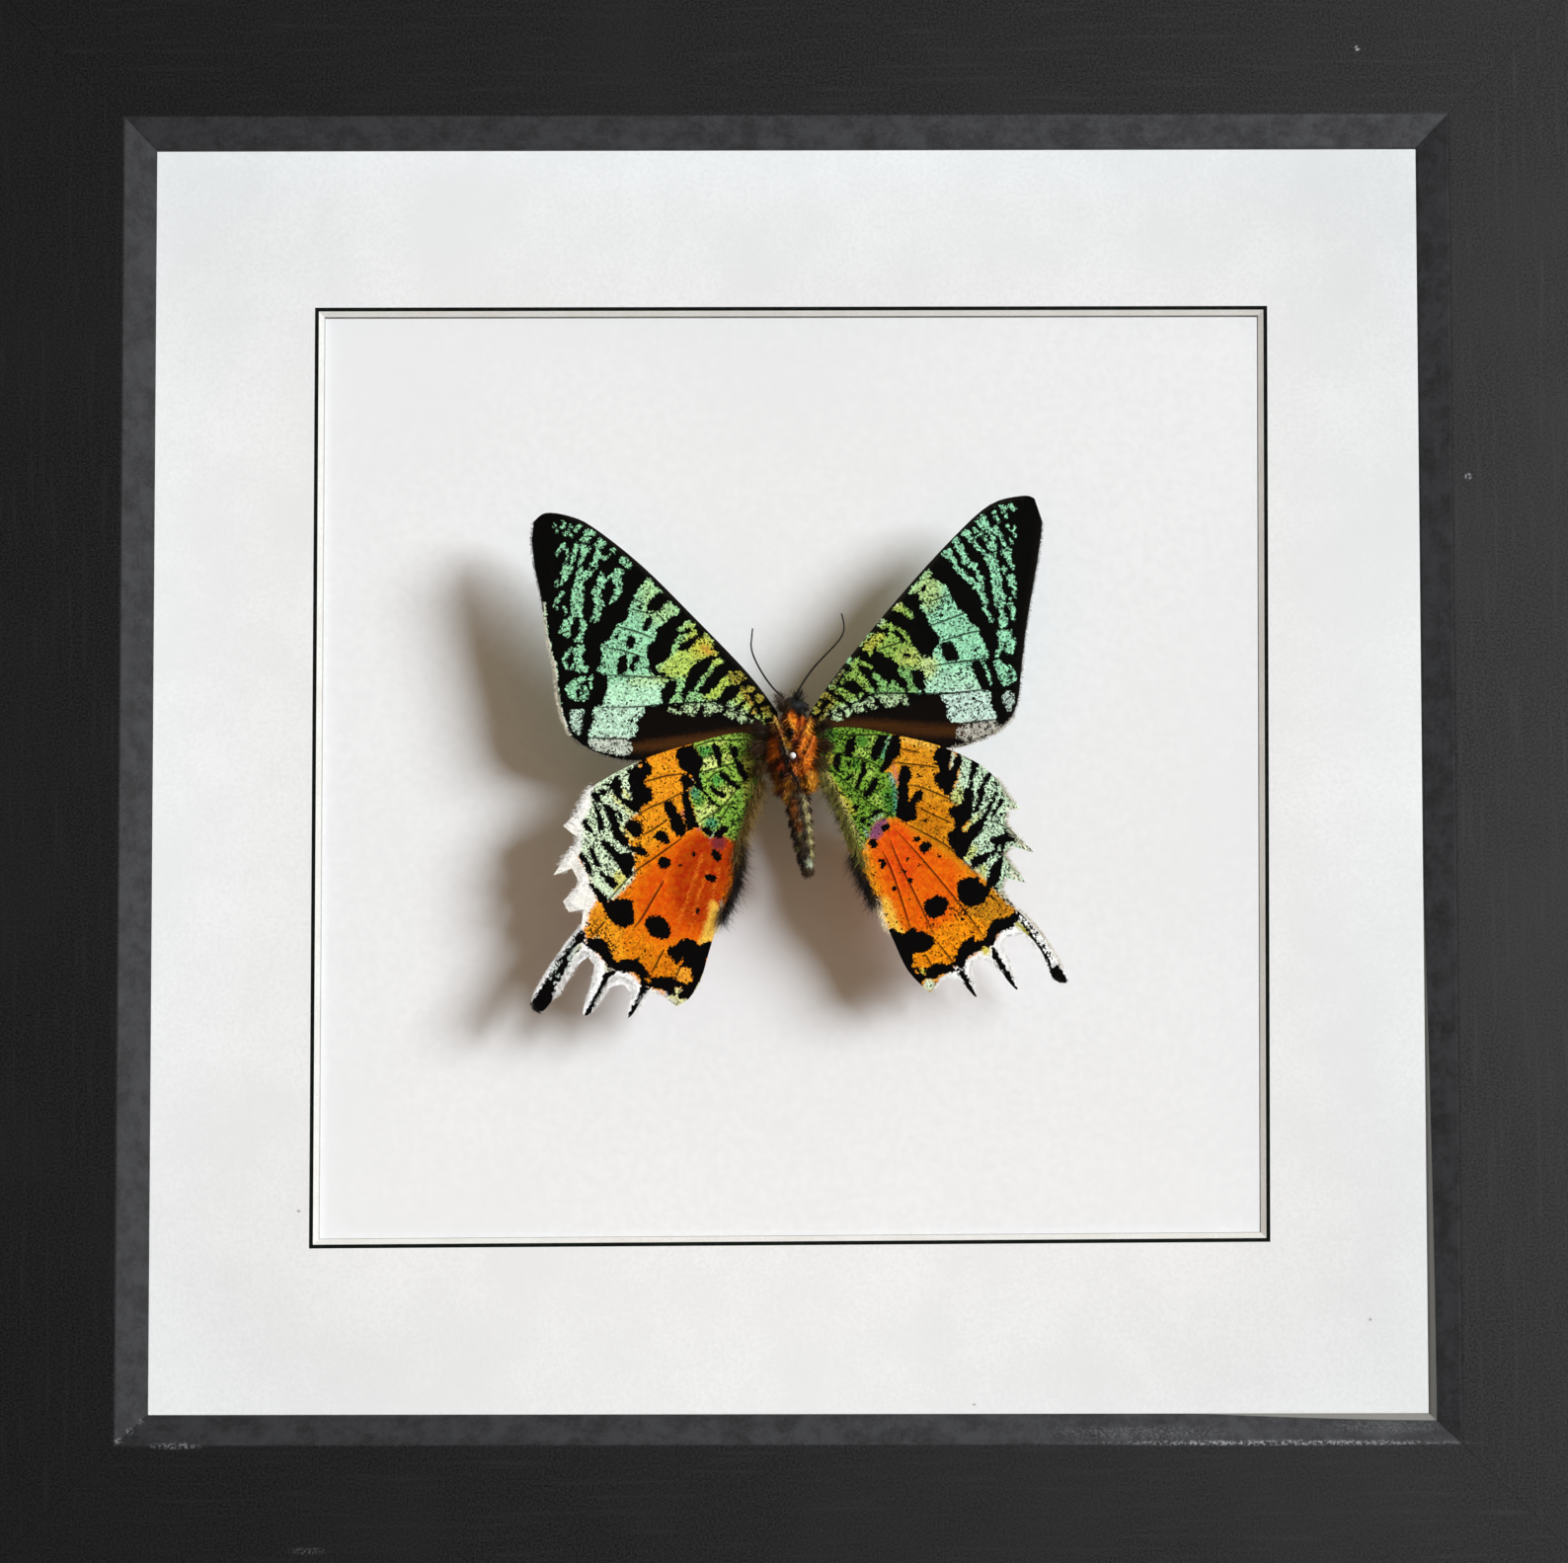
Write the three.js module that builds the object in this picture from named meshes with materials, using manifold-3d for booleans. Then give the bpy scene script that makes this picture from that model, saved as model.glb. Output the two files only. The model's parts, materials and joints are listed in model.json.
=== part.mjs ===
// Framed sunset moth: a deep black wooden box frame with glass, a window mat and one pinned moth.
// Millimetres, +Z up. The front faces -Y and the frame stands on its bottom rail at Z = 0.
import * as THREE from 'three';
import { mergeVertices } from 'three/addons/utils/BufferGeometryUtils.js';
import Module from 'manifold-3d';

const wasm = await Module();
wasm.setup();

// Frame moulding
const FRAME_SIZE = 240;
const FRAME_DEPTH = 40;
const FACE_WIDTH = 20.5;
const BEVEL_WIDTH = 4.5;
const BEVEL_DROP = 3.5;
const LIP_THICKNESS = 1.5;
const REBATE_WALL = 17.75;
const EDGE_CHAMFER = 1;

// Flat sheets in the rebate, from the front to the back
const SHEET_SIZE = 203.2;
const GLASS_THICKNESS = 2;
const SPACER_DEPTH = 22;
const SPACER_THICKNESS = 2.25;
const SPACER_CLEARANCE = 0.25;
const MAT_THICKNESS = 1.375;
const BACKING_THICKNESS = 5;
const PANEL_THICKNESS = 2.5;

// Mat window: its front edge, read from the frame's centre, and its 45 degree cut
const WINDOW_LEFT_TOP = [-72.2, 74.5];
const WINDOW_RIGHT_TOP = [73.5, 74.5];
const WINDOW_RIGHT_BOTTOM = [72.8, -68.4];
const WINDOW_LEFT_BOTTOM = [-72.4, -69.2];

// Steel tabs that hold the back in
const TAB_LENGTH = 15;
const TAB_WIDTH = 5;
const TAB_THICKNESS = 0.5;
const TAB_SEATED = 6;
const TAB_POINT = 3;
const TAB_SPACING = 110;
const TAB_SLOT_CLEARANCE = 0.3;

// Saw-tooth hanger on the back panel
const HANGER_LENGTH = 46;
const HANGER_HEIGHT = 9;
const HANGER_SHEET = 0.7;
const HANGER_RISE = 0.9;
const HANGER_FOOT = 8;
const HANGER_RAMP = 2;
const HANGER_BELOW_TOP = 40;
const HANGER_TEETH = 11;
const TOOTH_PITCH = 2.2;
const TOOTH_DEPTH = 1.5;
const SCREW_RADIUS = 0.85;
const SCREW_HEAD_RADIUS = 2.2;
const SCREW_HEAD_HEIGHT = 1;
const SCREW_SHOULDER_RADIUS = 2;
const SCREW_SHOULDER_HEIGHT = 0.6;
const SCREW_CROWN_RADIUS = 1;
const SCREW_LENGTH = 2.8;
const SCREW_POINT = 0.9;
const SCREW_HOLE_RADIUS = 1.2;

// Moth: heights are measured from the backing board's face towards the glass
const WING_HEIGHT = 10.9;
const WING_SLOPE = 0.043;
const WING_CAMBER = 0.5;
const WING_HALF_SPAN = 38;
const WING_THICKNESS = 0.4;
const HINDWING_STEP = 0.8;
const ROOT_GAP = 0.3;
const THORAX_HEIGHT = 11.6;
const HEAD_HEIGHT = 11.9;
const ABDOMEN_TIP_HEIGHT = 9.4;
const LEG_RADIUS = 0.36;
const ANTENNA_RADIUS = 0.17;
const ANTENNA_HEIGHT = 12.4;
const PIN_RADIUS = 0.25;
const PIN_HEAD_RADIUS = 0.62;
const PIN_HEAD_HEIGHT = 16.9;
const PIN_HEAD_STEPS = 9;
const PIN_HEAD_SWEEP = 0.87;
const PIN_POINT = 1.6;
const PIN_IN_BOARD = 4;
const PIN_BORE_RADIUS = 0.55;

// Outlines of the moth are read off its photograph in pixels, and this scale makes them millimetres
const MM_PER_PIXEL = 0.15;
const VIEW_TILT = THREE.MathUtils.degToRad(5.4);
const FRAME_CENTRE_PIXEL = [797, 796.5];

// How far a cutter runs past the faces that it cuts
const OVERCUT = 1;

// Depths along Y, from the front face to the back
const frontY = -FRAME_DEPTH / 2;
const backY = FRAME_DEPTH / 2;
const lipFrontY = frontY + BEVEL_DROP;
const glassFrontY = lipFrontY + LIP_THICKNESS;
const glassBackY = glassFrontY + GLASS_THICKNESS;
const matFrontY = glassBackY + SPACER_DEPTH;
const boardFrontY = matFrontY + MAT_THICKNESS;
const panelFrontY = boardFrontY + BACKING_THICKNESS;
const panelBackY = panelFrontY + PANEL_THICKNESS;
const halfFrame = FRAME_SIZE / 2;
const rebateHalf = halfFrame - REBATE_WALL;

// Colours
const COLOURS = {
  blackWood: { color: '#2b2b2c', roughness: 0.5, metalness: 0 },
  glass: { color: '#f2f6f5', roughness: 0.03, metalness: 0, transparent: true, opacity: 0.2 },
  whiteCard: { color: '#eceae4', roughness: 0.9, metalness: 0 },
  mat: { color: '#ededeb', roughness: 0.9, metalness: 0 },
  board: { color: '#eeeeee', roughness: 0.85, metalness: 0 },
  hardboard: { color: '#6b4a31', roughness: 0.8, metalness: 0 },
  steel: { color: '#b5b6b5', roughness: 0.35, metalness: 1 },
  forewing: { color: '#2f5a48', roughness: 0.5, metalness: 0 },
  hindwing: { color: '#b8601c', roughness: 0.5, metalness: 0 },
  fur: { color: '#8a4a16', roughness: 0.9, metalness: 0 },
  antenna: { color: '#17130f', roughness: 0.6, metalness: 0 },
};

const part = new THREE.Group();
const sheets = new THREE.Group();
sheets.position.z = halfFrame;
part.add(sheets);

// Shared helpers

function addMesh(parent, name, geometry, finish) {
  const mesh = new THREE.Mesh(geometry, new THREE.MeshStandardMaterial(COLOURS[finish]));
  mesh.name = name;
  parent.add(mesh);
  return mesh;
}

function toSolid(geometry) {
  const bare = geometry.clone();
  bare.deleteAttribute('normal');
  bare.deleteAttribute('uv');
  const merged = mergeVertices(bare);
  const mesh = new wasm.Mesh({
    numProp: 3,
    vertProperties: new Float32Array(merged.attributes.position.array),
    triVerts: new Uint32Array(merged.index.array),
  });
  return new wasm.Manifold(mesh);
}

function toGeometry(solid) {
  const mesh = solid.getMesh();
  const geometry = new THREE.BufferGeometry();
  geometry.setAttribute('position', new THREE.BufferAttribute(new Float32Array(mesh.vertProperties), 3));
  geometry.setIndex(new THREE.BufferAttribute(new Uint32Array(mesh.triVerts), 1));
  geometry.computeVertexNormals();
  return geometry;
}

function box(sizeX, sizeY, sizeZ, x, y, z) {
  return new THREE.BoxGeometry(sizeX, sizeY, sizeZ).translate(x, y, z);
}

// A round bar along Y between two depths
function barAlongY(radius, fromY, toY, x, z, sides = 16) {
  const bar = new THREE.CylinderGeometry(radius, radius, toY - fromY, sides);
  return bar.translate(x, (fromY + toY) / 2, z);
}

// A flat outline in the XZ plane, given thickness along Y between two depths
function plate(points, fromY, toY) {
  const shape = new THREE.Shape(points);
  const solid = new THREE.ExtrudeGeometry(shape, { depth: toY - fromY, bevelEnabled: false });
  return solid.rotateX(Math.PI / 2).translate(0, toY, 0);
}

// Four mitred rails, with slots for the tabs cut in each rebate wall

function railProfile() {
  return [
    [0, frontY + EDGE_CHAMFER],
    [EDGE_CHAMFER, frontY],
    [FACE_WIDTH, frontY],
    [FACE_WIDTH + BEVEL_WIDTH, lipFrontY],
    [FACE_WIDTH + BEVEL_WIDTH, glassFrontY],
    [REBATE_WALL, glassFrontY],
    [REBATE_WALL, backY],
    [0, backY],
  ].map(([inward, y]) => new THREE.Vector2(inward, y));
}

// The top rail about the frame's centre: each profile point runs to the mitre at both ends
function railGeometry() {
  const profile = railProfile();
  const positions = [];
  for (const side of [-1, 1]) {
    for (const { x: inward, y } of profile) {
      const reach = halfFrame - inward;
      positions.push(side * reach, y, reach);
    }
  }
  const count = profile.length;
  const index = [];
  for (let i = 0; i < count; i += 1) {
    const next = (i + 1) % count;
    index.push(i, next, count + next);
    index.push(i, count + next, count + i);
  }
  for (const [a, b, c] of THREE.ShapeUtils.triangulateShape(profile, [])) {
    index.push(a, c, b);
    index.push(count + a, count + b, count + c);
  }
  const geometry = new THREE.BufferGeometry();
  geometry.setAttribute('position', new THREE.Float32BufferAttribute(positions, 3));
  geometry.setIndex(index);
  return geometry;
}

const tabPlaces = [-TAB_SPACING / 2, TAB_SPACING / 2];

function slottedRail() {
  const slotWidth = TAB_WIDTH + 2 * TAB_SLOT_CLEARANCE;
  const slotHeight = TAB_THICKNESS + 2 * TAB_SLOT_CLEARANCE;
  const slotFrom = rebateHalf - OVERCUT;
  const slotTo = rebateHalf + TAB_SEATED + TAB_SLOT_CLEARANCE;
  const slotY = panelBackY + TAB_THICKNESS / 2;
  let solid = toSolid(railGeometry());
  for (const x of tabPlaces) {
    const slot = box(slotWidth, slotHeight, slotTo - slotFrom, x, slotY, (slotFrom + slotTo) / 2);
    solid = solid.subtract(toSolid(slot));
  }
  return toGeometry(solid);
}

const sides = ['top', 'left', 'bottom', 'right'];
const rail = slottedRail();
const tabOutline = [
  [-TAB_WIDTH / 2, rebateHalf + TAB_SEATED - TAB_LENGTH],
  [TAB_WIDTH / 2, rebateHalf + TAB_SEATED - TAB_LENGTH],
  [TAB_WIDTH / 2, rebateHalf + TAB_SEATED - TAB_POINT],
  [0, rebateHalf + TAB_SEATED],
  [-TAB_WIDTH / 2, rebateHalf + TAB_SEATED - TAB_POINT],
].map(([x, z]) => new THREE.Vector2(x, z));
const tab = plate(tabOutline, panelBackY, panelBackY + TAB_THICKNESS);

sides.forEach((side, turn) => {
  const quarter = new THREE.Group();
  quarter.rotation.y = -turn * Math.PI / 2;
  sheets.add(quarter);
  addMesh(quarter, `frame_${side}`, rail, 'blackWood');
  tabPlaces.forEach((x, k) => {
    const held = addMesh(quarter, `back_tab_${turn * tabPlaces.length + k + 1}`, tab, 'steel');
    held.position.x = x;
  });
});

// Glass and the spacer strips that hold the mat away from it

const pane = box(SHEET_SIZE, GLASS_THICKNESS, SHEET_SIZE, 0, glassFrontY + GLASS_THICKNESS / 2, 0);
addMesh(sheets, 'glass', pane, 'glass');

const spacerOuter = rebateHalf - SPACER_CLEARANCE;
const spacerInner = spacerOuter - SPACER_THICKNESS;
const spacerMiddle = (spacerOuter + spacerInner) / 2;
const spacerY = glassBackY + SPACER_DEPTH / 2;
const longSpacer = 2 * spacerOuter;
const shortSpacer = 2 * (spacerInner - SPACER_CLEARANCE);
for (const [name, sign] of [['spacer_top', 1], ['spacer_bottom', -1]]) {
  const strip = box(longSpacer, SPACER_DEPTH, SPACER_THICKNESS, 0, spacerY, sign * spacerMiddle);
  addMesh(sheets, name, strip, 'whiteCard');
}
for (const [name, sign] of [['spacer_left', -1], ['spacer_right', 1]]) {
  const strip = box(SPACER_THICKNESS, SPACER_DEPTH, shortSpacer, sign * spacerMiddle, spacerY, 0);
  addMesh(sheets, name, strip, 'whiteCard');
}

// Mat with a window whose edge is cut at 45 degrees

function windowCutter() {
  const corners = [WINDOW_LEFT_TOP, WINDOW_RIGHT_TOP, WINDOW_RIGHT_BOTTOM, WINDOW_LEFT_BOTTOM];
  const positions = [];
  const levels = [
    [matFrontY - OVERCUT, -OVERCUT],
    [boardFrontY + OVERCUT, MAT_THICKNESS + OVERCUT],
  ];
  for (const [y, inset] of levels) {
    for (const [x, z] of corners) {
      positions.push(x - Math.sign(x) * inset, y, z - Math.sign(z) * inset);
    }
  }
  const index = [0, 2, 1, 0, 3, 2, 4, 5, 6, 4, 6, 7];
  for (let i = 0; i < 4; i += 1) {
    const next = (i + 1) % 4;
    index.push(i, next, 4 + next);
    index.push(i, 4 + next, 4 + i);
  }
  const geometry = new THREE.BufferGeometry();
  geometry.setAttribute('position', new THREE.Float32BufferAttribute(positions, 3));
  geometry.setIndex(index);
  return toSolid(geometry);
}

const matSheet = box(SHEET_SIZE, MAT_THICKNESS, SHEET_SIZE, 0, matFrontY + MAT_THICKNESS / 2, 0);
addMesh(sheets, 'mat', toGeometry(toSolid(matSheet).subtract(windowCutter())), 'mat');

// The moth's own places: a photograph pixel as a point in the XZ plane about the frame's centre

function fromPhoto([px, py]) {
  const x = (px - FRAME_CENTRE_PIXEL[0]) * MM_PER_PIXEL;
  const z = (FRAME_CENTRE_PIXEL[1] - py) * MM_PER_PIXEL / Math.cos(VIEW_TILT);
  return new THREE.Vector2(x, z);
}

function atHeight(pixel, height) {
  const place = fromPhoto(pixel);
  return new THREE.Vector3(place.x, boardFrontY - height, place.y);
}

const PIN_PIXEL = [802.5, 765];
const pinPlace = fromPhoto(PIN_PIXEL);

// Backing board with the pin's hole, and the back panel with the hanger's screw holes

const pinHoleEndY = boardFrontY + PIN_IN_BOARD + ROOT_GAP;
const pinHole = barAlongY(PIN_BORE_RADIUS, boardFrontY - OVERCUT, pinHoleEndY, pinPlace.x, pinPlace.y);
const boardSheet = box(SHEET_SIZE, BACKING_THICKNESS, SHEET_SIZE, 0, boardFrontY + BACKING_THICKNESS / 2, 0);
addMesh(sheets, 'backing_board', toGeometry(toSolid(boardSheet).subtract(toSolid(pinHole))), 'board');

const hangerZ = halfFrame - HANGER_BELOW_TOP;
const screwX = HANGER_LENGTH / 2 - HANGER_FOOT / 2;
const screwSides = [['hanger_screw_left', -screwX], ['hanger_screw_right', screwX]];
const panelSheet = box(SHEET_SIZE, PANEL_THICKNESS, SHEET_SIZE, 0, panelFrontY + PANEL_THICKNESS / 2, 0);
let panel = toSolid(panelSheet);
for (const [, x] of screwSides) {
  const hole = barAlongY(SCREW_HOLE_RADIUS, panelFrontY - OVERCUT, panelBackY + OVERCUT, x, hangerZ);
  panel = panel.subtract(toSolid(hole));
}
addMesh(sheets, 'back_panel', toGeometry(panel), 'hardboard');

// Saw-tooth hanger: a bent strip with teeth along its lower edge, and its two screws

function hangerSolid() {
  const half = HANGER_LENGTH / 2;
  const footEnd = half - HANGER_FOOT;
  const bridgeEnd = footEnd - HANGER_RAMP;
  const section = [
    [-half, 0],
    [-footEnd, 0],
    [-bridgeEnd, HANGER_RISE],
    [bridgeEnd, HANGER_RISE],
    [footEnd, 0],
    [half, 0],
    [half, HANGER_SHEET],
    [footEnd, HANGER_SHEET],
    [bridgeEnd, HANGER_RISE + HANGER_SHEET],
    [-bridgeEnd, HANGER_RISE + HANGER_SHEET],
    [-footEnd, HANGER_SHEET],
    [-half, HANGER_SHEET],
  ].map(([x, rise]) => new THREE.Vector2(x, panelBackY + rise));
  const shape = new THREE.Shape(section);
  const strip = new THREE.ExtrudeGeometry(shape, { depth: HANGER_HEIGHT, bevelEnabled: false });
  let solid = toSolid(strip.translate(0, 0, hangerZ - HANGER_HEIGHT / 2));
  const lowerEdge = hangerZ - HANGER_HEIGHT / 2;
  for (let i = 0; i < HANGER_TEETH; i += 1) {
    const middle = (i - (HANGER_TEETH - 1) / 2) * TOOTH_PITCH;
    const notch = [
      new THREE.Vector2(middle - TOOTH_PITCH / 2, lowerEdge - OVERCUT),
      new THREE.Vector2(middle + TOOTH_PITCH / 2, lowerEdge - OVERCUT),
      new THREE.Vector2(middle, lowerEdge + TOOTH_DEPTH),
    ];
    solid = solid.subtract(toSolid(plate(notch, panelBackY, backY)));
  }
  for (const [, x] of screwSides) {
    solid = solid.subtract(toSolid(barAlongY(SCREW_HOLE_RADIUS, panelBackY - OVERCUT, backY, x, hangerZ)));
  }
  return solid;
}

addMesh(sheets, 'hanger', toGeometry(hangerSolid()), 'steel');

const screwProfile = [
  [0, -SCREW_LENGTH],
  [SCREW_RADIUS, SCREW_POINT - SCREW_LENGTH],
  [SCREW_RADIUS, 0],
  [SCREW_HEAD_RADIUS, 0],
  [SCREW_SHOULDER_RADIUS, SCREW_SHOULDER_HEIGHT],
  [SCREW_CROWN_RADIUS, SCREW_HEAD_HEIGHT],
  [0, SCREW_HEAD_HEIGHT],
].map(([r, y]) => new THREE.Vector2(r, y));
for (const [name, x] of screwSides) {
  const screw = addMesh(sheets, name, new THREE.LatheGeometry(screwProfile, 20), 'steel');
  screw.position.set(x, panelBackY + HANGER_SHEET, hangerZ);
}

// Moth body: head, thorax, abdomen and folded legs grown together, with the pin's hole through the thorax

function ellipsoid(centre, radii, extra = 0) {
  const [rx, ry, rz] = radii.map((radius) => radius + extra);
  return new THREE.SphereGeometry(1, 20, 14).scale(rx, ry, rz).translate(centre.x, centre.y, centre.z);
}

const thoraxCentre = atHeight([802, 764], THORAX_HEIGHT);
const THORAX_RADII = [3.9, 3.5, 6.6];
const headCentre = atHeight([803, 717], HEAD_HEIGHT);
const HEAD_RADII = [1.75, 1.6, 1.5];
const EYE_RADIUS = 0.85;
const EYE_PIXELS = [[792.5, 717], [813.5, 717]];

// The abdomen's radius at equal steps from the thorax to its tip
const ABDOMEN_RADII = [1.7, 2.0, 1.95, 1.8, 1.65, 1.45, 1.2, 0.8];
const ABDOMEN_START_PIXEL = [806, 796];
const ABDOMEN_TIP_PIXEL = [816, 884];

function abdomenSolid() {
  const start = atHeight(ABDOMEN_START_PIXEL, THORAX_HEIGHT);
  const tip = atHeight(ABDOMEN_TIP_PIXEL, ABDOMEN_TIP_HEIGHT);
  const length = start.distanceTo(tip);
  const step = length / ABDOMEN_RADII.length;
  const profile = [new THREE.Vector2(0, 0)];
  ABDOMEN_RADII.forEach((radius, i) => {
    profile.push(new THREE.Vector2(radius, i * step));
  });
  profile.push(new THREE.Vector2(0, length));
  const turn = new THREE.Quaternion();
  turn.setFromUnitVectors(new THREE.Vector3(0, 1, 0), tip.clone().sub(start).normalize());
  return new THREE.LatheGeometry(profile, 16).applyQuaternion(turn).translate(start.x, start.y, start.z);
}

// Each leg is a path of photograph pixels with the height of every point
const LEGS = [
  [[797, 722, 12.2], [800, 736, 14.4], [805, 753, 15.3]],
  [[811, 722, 12.2], [813, 736, 14.3], [808, 757, 15.3]],
  [[783, 728, 13.0], [790, 744, 15.0], [797, 772, 15.6], [809, 797, 14.2]],
  [[821, 728, 13.0], [815, 746, 15.2], [808, 770, 15.8], [797, 796, 14.4]],
  [[786, 752, 13.8], [791, 772, 14.8], [795, 792, 13.6], [796, 812, 12.2]],
  [[824, 748, 13.2], [817, 766, 15.2], [811, 781, 15.0], [822, 803, 12.4]],
];
const LEG_STEPS = 10;

function tubeAlong(points, radius, steps, sections) {
  const ring = new THREE.Shape();
  for (let i = 0; i < sections; i += 1) {
    const angle = i * 2 * Math.PI / sections;
    const at = [radius * Math.cos(angle), radius * Math.sin(angle)];
    if (i === 0) {
      ring.moveTo(...at);
    } else {
      ring.lineTo(...at);
    }
  }
  const path = new THREE.CatmullRomCurve3(points);
  return new THREE.ExtrudeGeometry(ring, { steps, extrudePath: path, bevelEnabled: false });
}

function bodySolid() {
  let solid = toSolid(ellipsoid(thoraxCentre, THORAX_RADII));
  solid = solid.add(toSolid(ellipsoid(headCentre, HEAD_RADII)));
  for (const pixel of EYE_PIXELS) {
    const eye = atHeight(pixel, HEAD_HEIGHT);
    solid = solid.add(toSolid(ellipsoid(eye, [EYE_RADIUS, EYE_RADIUS, EYE_RADIUS])));
  }
  solid = solid.add(toSolid(abdomenSolid()));
  for (const leg of LEGS) {
    const points = leg.map(([px, py, height]) => atHeight([px, py], height));
    solid = solid.add(toSolid(tubeAlong(points, LEG_RADIUS, LEG_STEPS, 7)));
  }
  const bore = barAlongY(PIN_BORE_RADIUS, glassBackY, boardFrontY, pinPlace.x, pinPlace.y);
  return solid.subtract(toSolid(bore));
}

addMesh(sheets, 'body', toGeometry(bodySolid()), 'fur');

// Pin: a steel shaft through the thorax into the board, with a round head in front

const pinHeadY = boardFrontY - PIN_HEAD_HEIGHT;
const pinTipY = boardFrontY + PIN_IN_BOARD;
const pinProfile = [];
for (let i = 0; i < PIN_HEAD_STEPS; i += 1) {
  const angle = Math.PI * (1 - PIN_HEAD_SWEEP * i / (PIN_HEAD_STEPS - 1));
  const reach = i === 0 ? 0 : PIN_HEAD_RADIUS * Math.sin(angle);
  pinProfile.push(new THREE.Vector2(reach, pinHeadY + PIN_HEAD_RADIUS * Math.cos(angle)));
}
pinProfile.push(new THREE.Vector2(PIN_RADIUS, pinHeadY + PIN_HEAD_RADIUS));
pinProfile.push(new THREE.Vector2(PIN_RADIUS, pinTipY - PIN_POINT));
pinProfile.push(new THREE.Vector2(0, pinTipY));
const pin = addMesh(sheets, 'pin', new THREE.LatheGeometry(pinProfile, 16), 'steel');
pin.position.set(pinPlace.x, 0, pinPlace.y);

// Antennae: fine curved threads from just in front of the head

const ANTENNA_PATHS = {
  left_antenna: [[794, 709], [786, 703], [775, 689], [765, 672], [760, 658], [761, 648], [762, 638]],
  right_antenna: [[806, 705], [814, 691], [826, 675], [840, 661], [852, 648], [856, 636], [852, 623]],
};
const ANTENNA_STEPS = 22;
for (const [name, pixels] of Object.entries(ANTENNA_PATHS)) {
  const points = pixels.map((pixel) => atHeight(pixel, ANTENNA_HEIGHT));
  const thread = toSolid(tubeAlong(points, ANTENNA_RADIUS, ANTENNA_STEPS, 6));
  const clear = toSolid(ellipsoid(headCentre, HEAD_RADII, ROOT_GAP));
  addMesh(sheets, name, toGeometry(thread.subtract(clear)), 'antenna');
}

// Wings: each outline runs from the root along the front edge, down the outer edge and back to the root

function smooth(pixels) {
  const points = pixels.map((pixel) => fromPhoto(pixel));
  return new THREE.SplineCurve(points).getPoints((points.length - 1) * 2);
}

function straight(pixels) {
  return pixels.map((pixel) => fromPhoto(pixel));
}

const LEFT_FOREWING = [
  ...smooth([
    [787, 722], [758, 684], [706, 630], [650, 574.5], [600, 535], [575, 523.5], [552, 520.5], [540, 529],
  ]),
  ...smooth([[538, 548], [541, 575], [547, 603], [551, 632], [561, 675], [566, 706], [570, 731], [577, 745]]),
  ...smooth([[588, 754], [605, 763], [640, 771], [700, 764], [790, 748]]),
];

const RIGHT_FOREWING = [
  ...smooth([[819, 724], [850, 680], [910, 607], [965, 547], [1003, 513], [1036, 504], [1048, 506.5]]),
  ...smooth([[1056, 530], [1053, 556], [1047, 592], [1040, 632], [1034, 680], [1031, 708], [1024, 729]]),
  ...smooth([[1012, 740], [990, 751], [962, 759], [890, 756], [818, 748]]),
];

const LEFT_HINDWING = [
  ...smooth([[778, 744], [742, 744.5], [700, 755], [655, 769], [612, 790], [590, 806]]),
  ...straight([
    [587, 822], [570, 837], [587, 851], [573, 868], [560, 887], [579, 880], [586, 893], [582, 901],
  ]),
  ...straight([[570, 913], [576, 924], [591, 921], [588, 940]]),
  ...smooth([[574, 953], [551, 987], [538, 1014], [547, 1025], [561, 1010], [577, 984], [595, 969]]),
  ...smooth([[602, 978], [597, 1001], [590, 1025], [599, 1025], [616, 1001], [632, 997]]),
  ...smooth([[639, 1007], [635, 1029], [641, 1026], [655, 1005], [670, 1008], [685, 1019]]),
  ...smooth([
    [697, 1011.5], [709, 993], [721, 953], [731, 930], [747, 895], [748, 868], [761, 822], [775, 776],
  ]),
];

const RIGHT_HINDWING = [
  ...smooth([[822, 740], [862, 738.5], [900, 745], [950, 757], [990, 775], [1010, 792]]),
  ...straight([[1020, 808], [1033, 821], [1019, 822], [1018, 837], [1047, 865], [1023, 858], [1017, 868]]),
  ...straight([[1038, 895], [1016, 890], [1013, 903], [1027, 920]]),
  ...smooth([
    [1043, 937], [1060, 956], [1075, 982], [1078, 996], [1064, 990], [1053, 964], [1034, 944], [1018, 948],
  ]),
  ...smooth([[1013, 960], [1023, 982], [1029, 1003], [1014, 988], [997, 971]]),
  ...smooth([[983, 973], [980, 987], [988, 1011], [968, 991], [954, 990]]),
  ...smooth([[941, 1006], [918, 983], [900, 945], [880, 911], [864, 876], [851, 838], [828, 780]]),
];

// Depth of the wings' middle: they lean from the tips to the tails and swell a little half-way out
function wingY(x, z) {
  const outward = Math.abs(x - pinPlace.x) / WING_HALF_SPAN;
  const swell = 1 - (2 * outward - 1) ** 2;
  const height = WING_HEIGHT + WING_SLOPE * (z - pinPlace.y) + WING_CAMBER * swell;
  return boardFrontY - height;
}

const WING_CELL = 5;

function wingSheet(outline, forward) {
  const bounds = new THREE.Box2().setFromPoints(outline).expandByScalar(1);
  const size = bounds.getSize(new THREE.Vector2());
  const middle = bounds.getCenter(new THREE.Vector2());
  const cellsX = Math.ceil(size.x / WING_CELL);
  const cellsZ = Math.ceil(size.y / WING_CELL);
  const sheet = new THREE.BoxGeometry(size.x, WING_THICKNESS, size.y, cellsX, 1, cellsZ);
  sheet.translate(middle.x, 0, middle.y);
  const position = sheet.attributes.position;
  for (let i = 0; i < position.count; i += 1) {
    const y = position.getY(i) + wingY(position.getX(i), position.getZ(i)) - forward;
    position.setY(i, y);
  }
  return toSolid(sheet);
}

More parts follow.
